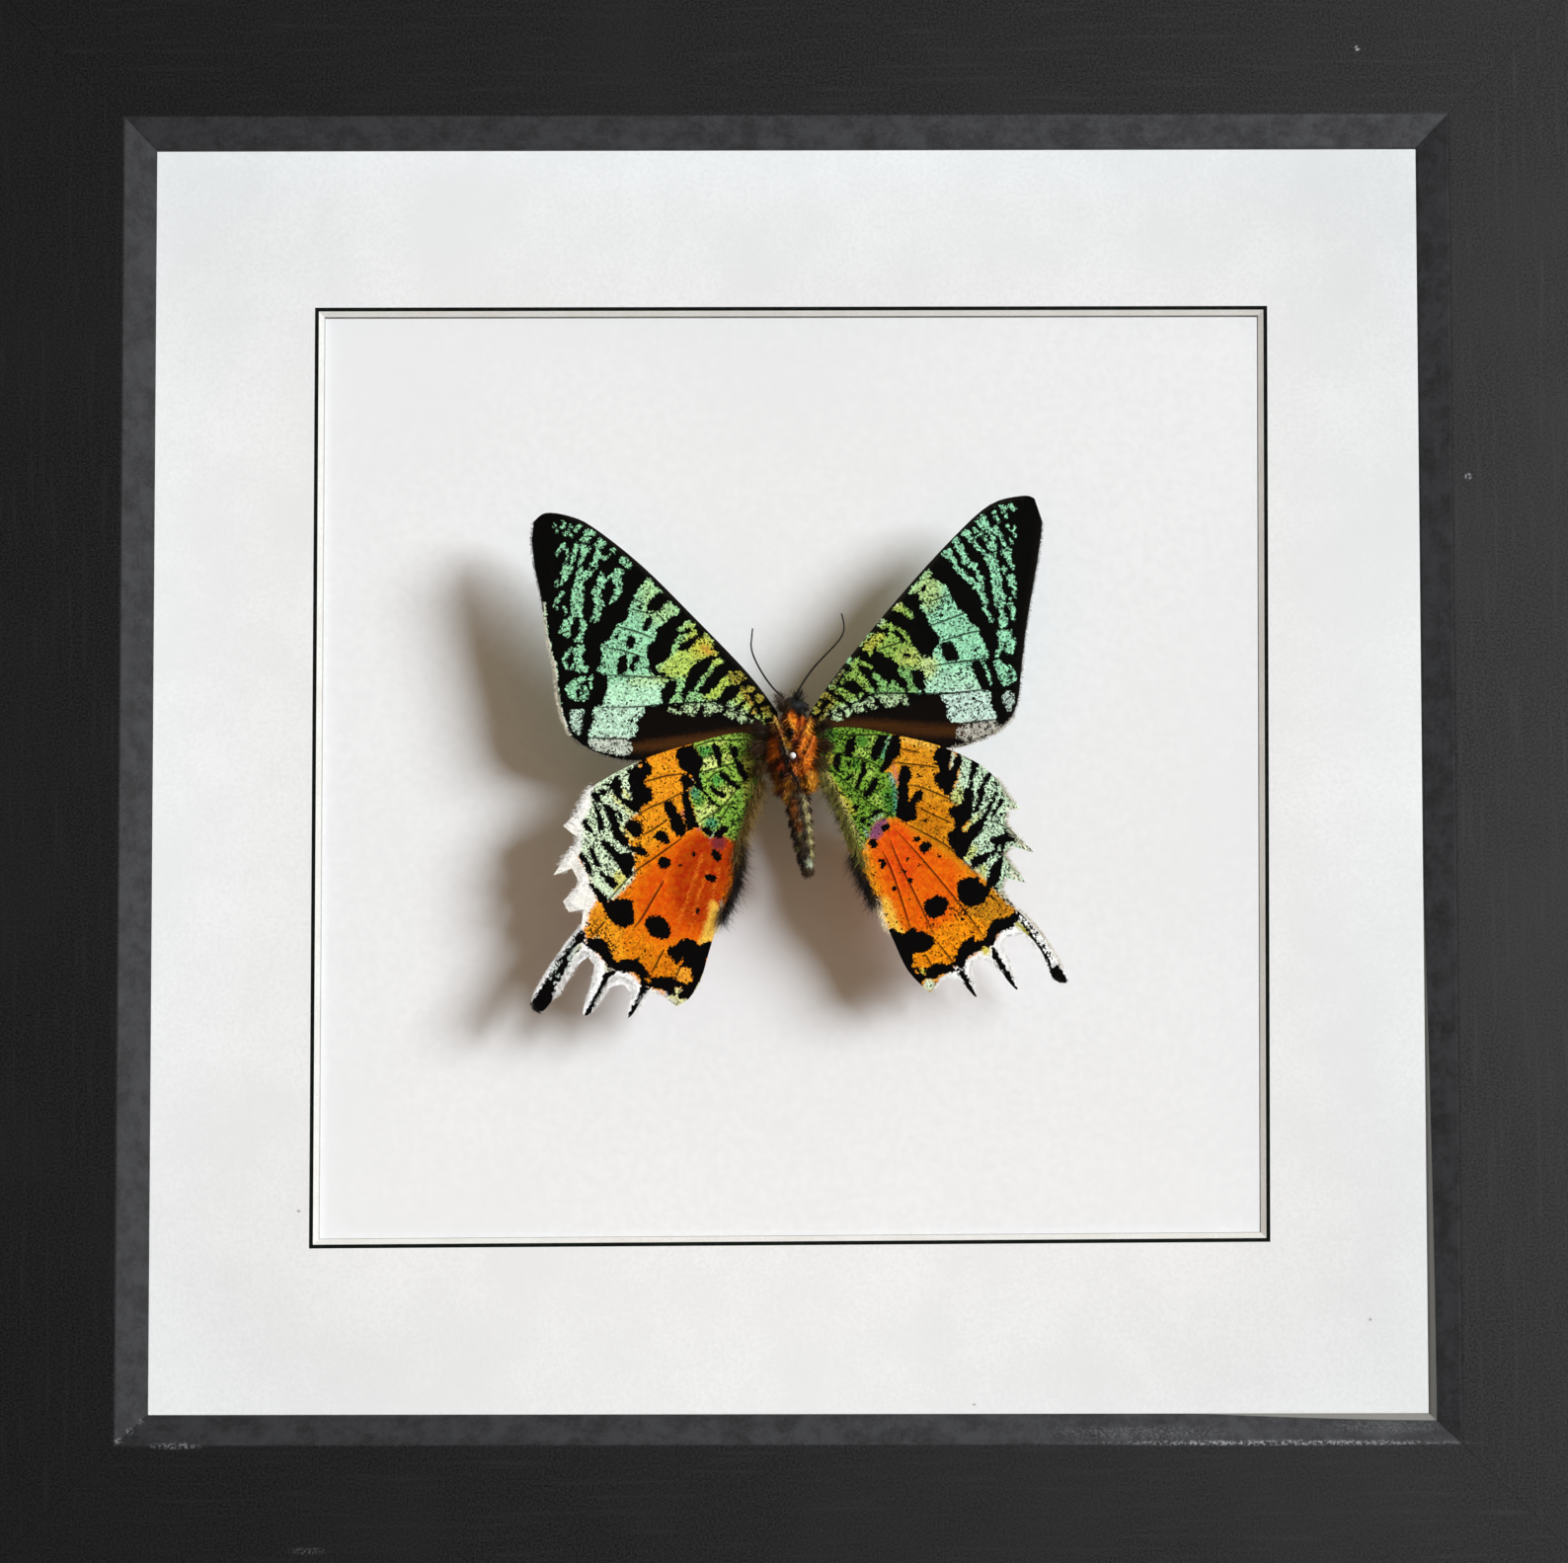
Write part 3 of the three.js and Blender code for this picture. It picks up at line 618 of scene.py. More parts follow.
# %% Mat sheet, inked line and bevelled window
SHEET_HALF = 101.6 * MM
MAT_FRONT = 9.0 * MM
BOARD_FRONT = 10.375 * MM
CUT = BOARD_FRONT - MAT_FRONT
INK_WIDTH = 0.6 * MM
CORE_WIDTH = 0.82 * MM
CORE_DROP = 0.25 * MM
WALL_LEAN = 0.12 * MM
FIRST_INSET = 0.2 * MM
WINDOW = [(-72.2, 74.5), (73.5, 74.5), (72.8, -68.4), (-72.4, -69.2)]


def window_ring(grow):
    ring = []
    for across, up in WINDOW:
        ring.append((across * MM + math.copysign(1, across) * grow, up * MM + math.copysign(1, up) * grow))
    return ring


def place_face_corners(mesh, ring, depth):
    inner = next(face for face in mesh.polygons if face.select)
    for index in inner.vertices:
        corner = mesh.vertices[index].co
        for across, up in ring:
            if across * corner.x > 0 and up * (corner.z - FRAME_CENTRE.z) > 0:
                corner.xyz = (across, depth, FRAME_CENTRE.z + up)


deselect_all()
bpy.ops.mesh.primitive_plane_add(size=2 * SHEET_HALF, rotation=(math.pi / 2, 0, 0),
                                 location=(0, MAT_FRONT, FRAME_CENTRE.z))
mat = added("window_mat")
freeze_place(mat)
RINGS = (
    (window_ring(INK_WIDTH), MAT_FRONT),
    (window_ring(0), MAT_FRONT),
    (window_ring(-CORE_WIDTH), MAT_FRONT + CORE_DROP),
    (window_ring(-CORE_WIDTH - WALL_LEAN), BOARD_FRONT),
)
for ring, depth in RINGS:
    edit_mode()
    bpy.ops.mesh.inset(thickness=FIRST_INSET)
    object_mode()
    place_face_corners(mat.data, ring, depth)
edit_mode()
bpy.ops.mesh.delete(type="FACE")
bpy.ops.mesh.select_all(action="SELECT")
bpy.ops.mesh.region_to_loop()
object_mode()
for edge in mat.data.edges:
    near = min(abs(mat.data.vertices[i].co.x) for i in edge.vertices)
    edge.select = edge.select and near > SHEET_HALF - CLOSE
edit_mode()
bpy.ops.mesh.extrude_edges_move(TRANSFORM_OT_translate={"value": (0, CUT, 0)})
object_mode()
for edge in mat.data.edges:
    depths = [mat.data.vertices[i].co.y for i in edge.vertices]
    edge.select = min(depths) > BOARD_FRONT - CLOSE
edit_mode()
bpy.ops.mesh.bridge_edge_loops()
face_outward(mat)
print("mat has", len(mat.data.polygons), "faces")

# %% [markdown]
# ## Ink and paper on the mat
# The inked line is greenish black and a little uneven where the pen ran dry. The faces of the line get
# their own material; the strip beside it shows the board's pale core, and the steep edge the same core
# darkened as painted shade. The white paper darkens a little towards its corners as painted shade and
# carries three small specks.

# %% Mat materials
MAT_SPECKS = (
    ((-74.6, 55.9), (0.35, 0.3), 0.6),
    ((88.5, 39.2), (0.3, 0.3), 0.6),
    ((28.2, 26.4), (0.4, 0.25), 0.5),
)
CORNER_SHADE_MIDDLE = (0, MAT_FRONT, FRAME_CENTRE.z + 10 * MM)
CORNER_SHADE_FROM, CORNER_SHADE_TO = 84 * MM, 132 * MM
CORNER_SHADE_MOST = 0.09
WINDOW_REACH = 80 * MM
LEVEL, STEEP = 0.999, 0.5
INK, tree, shader = new_finish("inked_line", roughness=0.85, specular=0.1)
place = object_place(tree)
dry = remap(tree, noise(tree, place, 900, 3.0, 0.6), 0.35, 0.75)
set_colour(tree, shader, mix_colours(tree, dry, linear("#040805"), linear("#141a14")))
add_bump(tree, shader, noise(tree, place, 2500), 0.2, 0.00003)

tree = MAT_WHITE.node_tree
shader = tree.nodes["Principled BSDF"]
place = object_place(tree)
reach = add_node(tree, "VectorMath", operation="DISTANCE")
join(tree, place, reach.inputs[0])
reach.inputs[1].default_value = CORNER_SHADE_MIDDLE
tone = shader.inputs["Base Color"].links[0].from_socket
# Painted shade: the paper darkens towards its corners.
painted_corner_shade = remap(tree, reach.outputs["Value"], CORNER_SHADE_FROM, CORNER_SHADE_TO, 0.0, CORNER_SHADE_MOST)
tone = mix_colours(tree, painted_corner_shade, tone, (0.0, 0.0, 0.0))
tone = mix_colours(tree, spot_mask(tree, place, MAT_SPECKS), tone, linear("#6b5a50"))
set_colour(tree, shader, tone)

for finish in (MAT_WHITE, INK, CORE_WHITE, CORE_PAINTED_SHADE):
    mat.data.materials.append(finish)
for face in mat.data.polygons:
    reach = max(abs(mat.data.vertices[i].co.x) for i in face.vertices)
    if reach < WINDOW_REACH:
        flatness = abs(face.normal.y)
        face.material_index = 1 if flatness > LEVEL else 2 if flatness > STEEP else 3
stand_for(mat, "mat_board", "mat")
print("ink on", sum(face.material_index == 1 for face in mat.data.polygons), "faces")

# %% [markdown]
# ## Glass, spacers and boards
# These are plain flat sheets, so the solid model's own shapes stay and only need a finish. The pane must
# let light through to what lies behind it, so it is hidden from the rays that carry shadow and bounced
# light, and only the view and reflections meet the glass.

# %% Glass and inner sheets
GLASS, tree, shader = new_finish("clear_glass", roughness=0.0, specular=0.5)
shader.inputs["Transmission Weight"].default_value = 1.0
shader.inputs["IOR"].default_value = 1.45
faint = remap(tree, noise(tree, object_place(tree), 25, 0.0), 0.3, 0.8)
set_colour(tree, shader, mix_colours(tree, faint, (0.985, 0.995, 0.99), (0.97, 0.985, 0.98)))


def dress(solid, finish):
    piece = nodes[solid]
    piece.data.materials.clear()
    piece.data.materials.append(finish)
    return piece


pane = dress("glass", GLASS)
pane.visible_shadow = False
pane.visible_diffuse = False
dress("backing_board", BOARD_WHITE)
for side_name in RAIL_NAMES:
    dress(f"spacer_{side_name}", CARD_WHITE)
print("glass, board and four spacers dressed")

# %% [markdown]
# ## The back
# A hardboard panel closes the box. Its face is pressed brown fibre: a fine tangle of light and dark
# threads. Bent steel tabs hold it and a toothed hanger is screwed to it; the zinc on them is cloudy and
# brushed one way.

# %% Hardboard and zinc
BRUSHED_SCALE = (250, 4000, 4000)
TABS = 8
HARDBOARD, tree, shader = new_finish("pressed_fibre", roughness=0.7, specular=0.25)
place = object_place(tree)
tangle = add_node(tree, "TexNoise", Scale=900.0, Detail=5.0, Roughness=0.65, Distortion=1.6)
join(tree, place, tangle.inputs["Vector"])
patches = noise(tree, place, 30, 3.0)
fibre = remap(tree, tangle.outputs["Fac"], 0.35, 0.68)
tone = mix_colours(tree, fibre, linear("#4f3019"), linear("#8a5f38"))
tone = mix_colours(tree, remap(tree, patches, 0.3, 0.75, 0.0, 0.35), tone, linear("#5b3a21"))
set_colour(tree, shader, tone)
join(tree, remap(tree, tangle.outputs["Fac"], 0.3, 0.7, 0.6, 0.8), shader.inputs["Roughness"])
add_bump(tree, shader, tangle.outputs["Fac"], 0.3, 0.00012)

ZINC, tree, shader = new_finish("zinc_plate", roughness=0.4, specular=0.5, metallic=0.6)
place = object_place(tree)
brush_map = add_node(tree, "Mapping")
brush_map.inputs["Scale"].default_value = BRUSHED_SCALE
join(tree, place, brush_map.inputs["Vector"])
brushed = noise(tree, brush_map.outputs["Vector"], 1.0, 3.0)
cloudy = noise(tree, place, 400, 3.0)
tone = mix_colours(tree, remap(tree, cloudy, 0.3, 0.7), linear("#a9abad"), linear("#c3c5c4"))
tone = mix_colours(tree, remap(tree, brushed, 0.55, 0.75, 0.0, 0.4), tone, linear("#8b8d90"))
set_colour(tree, shader, tone)
join(tree, remap(tree, brushed, 0.25, 0.75, 0.3, 0.5), shader.inputs["Roughness"])
add_bump(tree, shader, brushed, 0.12, 0.00003)

dress("back_panel", HARDBOARD)
for number in range(1, TABS + 1):
    dress(f"back_tab_{number}", ZINC)
for solid in ("hanger", "hanger_screw_left", "hanger_screw_right"):
    dress(solid, ZINC)
print("panel, eight tabs, hanger and two screws dressed")

# %% [markdown]
# ## Drawing on wings
# The moth is set with its underside to the glass. Its wings are thin sheets covered in coloured scales.
# Every band and spot was read from the photograph and is written here as a short list of points. A
# mark is a blot (points on its edge), a round spot (letter o, middle and radii) or a stroke (tilde and
# width). For each point of a wing the depth inside a mark is measured, so an edge stays crisp at any size
# of mesh.

# %% Mark reader
PIXEL = 0.15
LOOK_UP = math.cos(math.radians(5.4))
PHOTO_MIDDLE = (797.0, 796.5)
MIDDLE_HEIGHT = 120
DEPTH_LIMIT = 5.0
TINY = 1e-9
SPOT_CORNERS = 14


def pixels_to_mm(spots):
    across = (spots[:, 0] - PHOTO_MIDDLE[0]) * PIXEL
    up = MIDDLE_HEIGHT + (PHOTO_MIDDLE[1] - spots[:, 1]) * PIXEL / LOOK_UP
    return np.column_stack((across, up))


def mm_to_pixels(across, up):
    down = PHOTO_MIDDLE[1] - (up - MIDDLE_HEIGHT) * LOOK_UP / PIXEL
    return np.column_stack((across / PIXEL + PHOTO_MIDDLE[0], down))


def read_points(words):
    return np.array(words.replace(",", " ").split(), float).reshape(-1, 2)


def rounded(points, closed=True, steps=4):
    before, after, beyond = (np.roll(points, shift, axis=0) for shift in (1, -1, -2))
    if not closed:
        before[0], after[-1], beyond[-1], beyond[-2] = points[0], points[-1], points[-1], points[-1]
    runs = []
    for t in np.arange(steps) / steps:
        bend = (2 * before - 5 * points + 4 * after - beyond) * t * t
        twist = (3 * points - before - 3 * after + beyond) * t**3
        runs.append(0.5 * (2 * points + (after - before) * t + bend + twist))
    curve = np.stack(runs, axis=1).reshape(-1, 2)
    return curve if closed else np.vstack((curve[: 1 - steps or None], points[-1:]))


def nearest_on_path(spots, path, closed):
    ahead = np.roll(path, -1, axis=0) if closed else path[1:]
    start = path if closed else path[:-1]
    edge = ahead - start
    length = np.maximum((edge**2).sum(1), TINY)
    offset = spots[:, None] - start[None]
    along = np.clip((offset * edge).sum(2) / length, 0, 1)
    gaps = ((offset - along[..., None] * edge) ** 2).sum(2)
    best = gaps.argmin(1)
    rows = np.arange(len(spots))
    share = along[rows, best]
    return start[best] + share[:, None] * edge[best], np.sqrt(gaps[rows, best]), (best + share) / len(start)


def depth_inside(spots, loop):
    ahead = np.roll(loop, -1, axis=0)
    rise = np.where(ahead[:, 1] == loop[:, 1], TINY, ahead[:, 1] - loop[:, 1])
    crossing = (loop[None, :, 1] > spots[:, None, 1]) != (ahead[None, :, 1] > spots[:, None, 1])
    meeting = loop[:, 0] + (spots[:, 1, None] - loop[:, 1]) * (ahead - loop)[:, 0] / rise
    inside = (crossing & (spots[:, 0, None] < meeting)).sum(1) % 2 == 1
    gap = nearest_on_path(spots, loop, True)[1]
    return np.where(inside, gap, -gap)


def in_batches(measure, spots, loop, size=4000):
    return np.concatenate([measure(spots[i : i + size], loop) for i in range(0, len(spots), size)])


def mark_depths(spots, text, margin):
    for words in filter(None, (part.strip() for part in text.split(";"))):
        numbers = np.array(words.strip("o~").replace(",", " ").split(), float)
        if words[0] == "o":
            angles = np.linspace(0, 2 * math.pi, SPOT_CORNERS, endpoint=False)
            turns = np.column_stack((np.cos(angles), np.sin(angles)))
            path = numbers[:2] + turns * (numbers[2], numbers[-1])
        elif words[0] == "~":
            path = rounded(numbers[1:].reshape(-1, 2), closed=False)
        else:
            path = rounded(numbers.reshape(-1, 2))
        reach = margin + (numbers[0] if words[0] == "~" else 0)
        near = np.flatnonzero(((spots > path.min(0) - reach) & (spots < path.max(0) + reach)).all(1))
        if not len(near):
            continue
        if words[0] == "~":
            gap, along = nearest_on_path(spots[near], path, False)[1:]
            yield near, numbers[0] / 2 * (1 - 0.5 * np.abs(2 * along - 1) ** 3) - gap
        else:
            yield near, depth_inside(spots[near], path)


print("one photograph pixel is", PIXEL, "mm on the wings")

# %% [markdown]
# ## Coats of paint
# A wing carries several layers: the tint of its coloured scales, the shade of its dark scales, how deep
# each point lies inside black, how thickly dark flecks are strewn, and where the veins run. Tints are
# brushed on as soft-edged zones, one row for each brush: softness, value, colon and marks. Black is
# built by adding dark marks and lifting light ones off.

# %% Brushes
LOOSE_SCALES = 1.1
VEIN_WIDTH = 2.4


def new_coat(spots, tint, shade, black, fleck):
    count = len(spots)
    loose = np.random.default_rng(count).normal(scale=LOOSE_SCALES, size=(count, 2))
    return {
        "spots": spots,
        "loose_spots": spots + loose,
        "tint": np.tile(linear(tint), (count, 1)),
        "shade": np.tile(linear(shade), (count, 1)),
        "black": np.full(count, DEPTH_LIMIT if black else -DEPTH_LIMIT),
        "fleck": np.full(count, fleck),
        "vein": np.zeros(count),
    }


def brush(coat, layer, value, feather, text):
    value = np.array(linear(value)) if isinstance(value, str) else value
    spots = coat["spots" if layer == "vein" else "loose_spots"]
    for near, depth in mark_depths(spots, text, feather + 1):
        share = np.clip(depth / (2 * feather) + 0.5, 0, 1)
        share = share * share * (3 - 2 * share)
        if coat[layer].ndim == 2:
            share = share[:, None]
        coat[layer][near] = coat[layer][near] * (1 - share) + value * share


def brush_rows(coat, layer, rows):
    for row in rows.split("/"):
        head, marks = row.split(":")
        feather, value = head.split()
        brush(coat, layer, value if value[0] == "#" else float(value), float(feather), marks)


def add_dark(coat, text, grow):
    for near, depth in mark_depths(coat["spots"], text, DEPTH_LIMIT):
        coat["black"][near] = np.maximum(coat["black"][near], depth + grow)


def lift_light(coat, text, grow):
    for near, depth in mark_depths(coat["spots"], text, DEPTH_LIMIT):
        coat["black"][near] = np.minimum(coat["black"][near], -depth - grow)


def draw_veins(coat, text):
    brush(coat, "vein", 1.0, 1.0, ";".join(f"~{VEIN_WIDTH} {run}" for run in text.split(";")))


print("brushes ready")

# %% [markdown]
# ## Wing sheets
# A fine grid is laid over each wing, and the faces outside the wing's outline are deleted. The rim is
# then moved exactly onto the outline, and the sheet is lifted to its height over the board: a shallow
# arch that rises towards the tips, with the hind wings a little nearer to the glass. Solidify gives it
# two sides.

# %% Sheet maker
CELL = 0.18
PIN_SPOT = pixels_to_mm(np.array([[802.5, 765.0]]))[0]
WING_REACH = 38.0
SHEET_THICKNESS = 0.1 * MM
RAYS = 60.0
RAY_STRETCH = 0.06
ARCH = 0.5
WING_HEIGHT = 10.9
WING_SLOPE = 0.043
VEIN_HEIGHT = 0.06
FORE_FORWARD, HIND_FORWARD = 0.0, 0.8
SMOOTH_WING_BELOW = math.radians(50)


def read_outline(text):
    runs = []
    for words in text.split(";"):
        kind, points = words.strip()[0], read_points(words.strip()[1:])
        runs.append(rounded(points, closed=False) if kind == "s" else points)
    return np.vstack(runs)


def wing_depth(across, up, forward):
    arch = ARCH * (1 - (2 * np.abs(across - PIN_SPOT[0]) / WING_REACH - 1) ** 2)
    return BOARD_FRONT / MM - (WING_HEIGHT + WING_SLOPE * (up - PIN_SPOT[1]) + arch + forward)


def wing_sheet(name, outline):
    corners = pixels_to_mm(outline)
    low, high = corners.min(0) - CELL, corners.max(0) + CELL
    counts = [int(round(side / CELL)) for side in high - low]
    middle = (low + high) / 2
    deselect_all()
    place = (middle[0] * MM, 0, middle[1] * MM)
    bpy.ops.mesh.primitive_grid_add(x_subdivisions=counts[0], y_subdivisions=counts[1], size=1,
                                    location=place, rotation=(math.pi / 2, 0, 0))
    sheet = added(name)
    sheet.scale = (*((high - low) * MM), 1)
    freeze_place(sheet)
    centres = face_vectors(sheet.data, "center") / MM
    inside = in_batches(depth_inside, mm_to_pixels(centres[:, 0], centres[:, 2]), outline) > 0
    edit_mode()
    bpy.ops.mesh.select_mode(type="FACE")
    bpy.ops.mesh.select_all(action="DESELECT")
    object_mode()
    sheet.data.polygons.foreach_set("select", ~inside)
    edit_mode()
    bpy.ops.mesh.delete(type="FACE")
    bpy.ops.mesh.select_all(action="SELECT")
    bpy.ops.mesh.region_to_loop()
    object_mode()
    rim = np.array([vertex.index for vertex in sheet.data.vertices if vertex.select])
    places = vertex_places(sheet.data) / MM
    spots = mm_to_pixels(places[:, 0], places[:, 2])
    spots[rim] = in_batches(lambda some, loop: nearest_on_path(some, loop, True)[0], spots[rim], outline)
    places[:, [0, 2]] = pixels_to_mm(spots)
    sheet.data.vertices.foreach_set("co", (places * MM).ravel())
    edit_mode()
    bpy.ops.mesh.select_mode(type="VERT")
    object_mode()
    return sheet, spots


def finish_wing(sheet, coat, forward, solid, root):
    away = coat["spots"] - root
    fan = np.zeros((len(away), 3))
    fan[:, 0] = np.arctan2(away[:, 1], np.abs(away[:, 0])) * RAYS
    fan[:, 1] = np.hypot(*away.T) * RAY_STRETCH
    places = vertex_places(sheet.data) / MM
    places[:, 1] = wing_depth(places[:, 0], places[:, 2], forward) - VEIN_HEIGHT * coat["vein"]
    sheet.data.vertices.foreach_set("co", (places * MM).ravel())
    for layer in ("tint", "shade"):
        store_colours(sheet.data, layer, coat[layer])
    for layer in ("black", "fleck", "vein"):
        store(sheet.data, layer, "FLOAT", coat[layer])
    store(sheet.data, "fan", "FLOAT_VECTOR", fan)
    skin = sheet.modifiers.new("two_sides", "SOLIDIFY")
    skin.thickness = SHEET_THICKNESS
    skin.offset = 0
    apply_modifiers(sheet)
    make_active(sheet)
    bpy.ops.object.shade_smooth_by_angle(angle=SMOOTH_WING_BELOW)
    sheet.data.materials.append(WING_SCALES)
    stand_for(sheet, solid.split("_")[1], solid)
    print(solid, "has", len(sheet.data.polygons), "faces")


def make_wing(solid, outline, ground, layers, edges, veins, forward, root):
    sheet, spots = wing_sheet(f"{solid}_sheet", read_outline(outline))
    coat = new_coat(spots, **ground)
    for layer, rows in layers.items():
        brush_rows(coat, layer, rows)
    for change_edge, marks, grow in edges:
        change_edge(coat, marks, grow)
    draw_veins(coat, veins)
    finish_wing(sheet, coat, forward, solid, root)


print("wing cells are", CELL, "mm")

# %% [markdown]
# ## Scales
# Seen close, a wing is dust: thousands of tiny scales, each a slightly different tone, with dark ones
# strewn among the bright. One Voronoi cell stands for one scale: its three chances decide whether it is
# dark at the edge of a mark, whether it is a stray dark fleck and how light its tone is. Fields with few
# flecks also keep calmer tones.

# %% Scale material
SCALES_PER_METRE = 4000
RAGGED = 2.6
SCALE_RELIEF = 0.06 * MM
WING_SCALES, tree, shader = new_finish("wing_scales", roughness=0.55, specular=0.02)
place = object_place(tree)
layers = {}
for layer in ("tint", "shade", "black", "fleck", "vein", "fan"):
    layers[layer] = add_node(tree, "Attribute", attribute_name=layer)
scale_cells = add_node(tree, "TexVoronoi", Scale=SCALES_PER_METRE)
join(tree, place, scale_cells.inputs["Vector"])
chance = add_node(tree, "SeparateColor")
join(tree, scale_cells.outputs["Color"], chance.inputs["Color"])
clumps = noise(tree, place, 1300, 2.0, 0.7)
rays = noise(tree, layers["fan"].outputs["Vector"], 1.0, 1.0, 0.6)
fleck_share = layers["fleck"].outputs["Fac"]
vein_share = layers["vein"].outputs["Fac"]
patchy = do_math(tree, "SUBTRACT", plus(tree, clumps, rays), 1.0)
ragged = times(tree, do_math(tree, "SUBTRACT", chance.outputs["Red"], 0.5), RAGGED)
ragged = plus(tree, ragged, times(tree, patchy, RAGGED))
in_black = remap(tree, plus(tree, layers["black"].outputs["Fac"], ragged), -0.15, 0.15)
strewn = plus(tree, chance.outputs["Green"], times(tree, fleck_share, 0.3))
strewn = plus(tree, strewn, times(tree, patchy, 0.4))
flecks = remap(tree, strewn, 0.92, 0.98)
dark = do_math(tree, "MAXIMUM", in_black, times(tree, flecks, 0.92))
lines = remap(tree, vein_share, 0.45, 0.85, 0.0, 0.85)
dark = do_math(tree, "MAXIMUM", dark, lines)
tones = plus(tree, chance.outputs["Blue"], times(tree, patchy, 1.2))
lively = remap(tree, fleck_share, -0.5, 0.5, 0.3, 1.0)
tones = plus(tree, times(tree, do_math(tree, "SUBTRACT", tones, 0.5), lively), 0.5)
gleam = add_node(tree, "HueSaturation")
join(tree, layers["tint"].outputs["Color"], gleam.inputs["Color"])
join(tree, remap(tree, tones, -0.1, 1.1, 0.66, 1.36), gleam.inputs["Value"])
join(tree, remap(tree, clumps, 0.3, 0.7, 0.493, 0.507), gleam.inputs["Hue"])
set_colour(tree, shader, mix_colours(tree, dark, gleam.outputs["Color"], layers["shade"].outputs["Color"]))
join(tree, remap(tree, tones, 0.0, 1.0, 0.45, 0.65), shader.inputs["Roughness"])
relief = plus(tree, rays, times(tree, vein_share, 1.5))
add_bump(tree, shader, relief, 0.3, SCALE_RELIEF)
print("scales made from", len(tree.nodes), "nodes")

# %% [markdown]
# ## Left fore wing
# A black wing crossed by mint-green bars that break into flecks at the tip, turn yellow-green towards the
# body and fade to pale grey at the lower corner. A brown strip runs along the lower edge and a pale
# fringe down the outer one.

# %% Left fore wing marks
LEFT_FORE_OUTLINE = """
s787 722,758 684,706 630,650 574.5,600 535,575 523.5,552 520.5,540 529;
s538 548,541 575,547 603,551 632,561 675,566 706,570 731,577 745;
s588 754,605 763,640 771,700 764,790 748"""
LEFT_FORE_TIP = """
~1.5 570 529,571 533,568 536;o577 534 1.2;o576 538.5 1.4;o578 543 1.2;o572 542 1.2;~1 561 532,564 539;
o609 582 1;582 533,588 533,587 536,583 539;592 541,594 538,599 539,602 542,599 543,596 543,594 546,
597 547,594 550,587 549,590 546;606 548,608 547,613 551,610 553,609 557,605 556,602 554,605 552;604 558,
608 559,608 566,605 569,602 571,598 576,596 577,598 573,601 570,602 565;~1.5 604 570,602 577;~2.2 571 551,
568 556,564 562;~1.5 572 553,574 560,574 570;570 551,573 551,572 555,569 555;~2.8 584 552,582 558,581 564,
579 571;588 553,591 553,593 555,597 556,596 560,593 563,589 563,588 558;~2.2 590 563,588 569,586 574;
o621 559 2.5 2;~1.2 618 563,614 565,611 568;~1.5 563 589,564 594;628 569,631 566,636 570,639 574,636 577,
632 573,628 571;571 573,575 575,580 576,578 579,575 584,571 589,568 594,567 598,567 592,569 585,569 579;
586 577,589 577,588 582,588 588,590 592,589 600,580 601,579 599,581 594,583 588,584 583;591 582,594 580,
599 580,600 582,596 585,592 588,590 591,590 587;~2.5 570 601,566 606,561 612;~1 561 614,563 617;580 602,
586 601,591 604,590 610,589 618,589 622,590 626,583 625,578 624,579 618,579 610;~1.2 571 616,573 620,
572 624;606 586,608 585,612 587,616 588,613 591,610 596,607 600,608 604,604 605,602 603,599 603,600 600,
604 594,605 590;602 606,607 607,609 611,612 614,609 615,608 620,608 626,605 630,601 628,600 625,602 620,
603 614;~1.5 598 628,600 631;623 578,627 578,630 580,632 580,630 583,627 585,629 588,626 590,630 592,
630 594,628 596,629 599,627 603,624 607,619 611,617 612,619 608,622 603,622 598,624 594,621 590,623 586;
~1.5 616 587,621 583;571 630,575 627,580 627,579 631,577 634,576 638,577 642,575 646,572 645,570 642,
566 640,569 636,570 633;588 629,591 629,593 633,593 638,591 641,590 646,588 651,582 650,585 646,587 641,
588 636;586 655,591 655,590 661,588 666,590 671,591 675,594 677,594 681,588 682,584 679,583 674,581 669,
582 664,580 660,582 657;~3 578 658,574 664,570 670;~1.5 571 673,574 678;~1.2 581 672,579 678;~2 594 689,
600 687;~1.5 598 690,598 698;573 698,576 693,581 690,586 688,592 687,592 690,587 692,588 696,587 700,
589 704,592 706,592 710,586 709,580 709,576 707,574 703;~2.5 592 697,594 703,592 709;578 722,582 720,
588 720,590 721,589 727,588 733,588 738,586 744,582 741,580 737,578 733,577 728"""
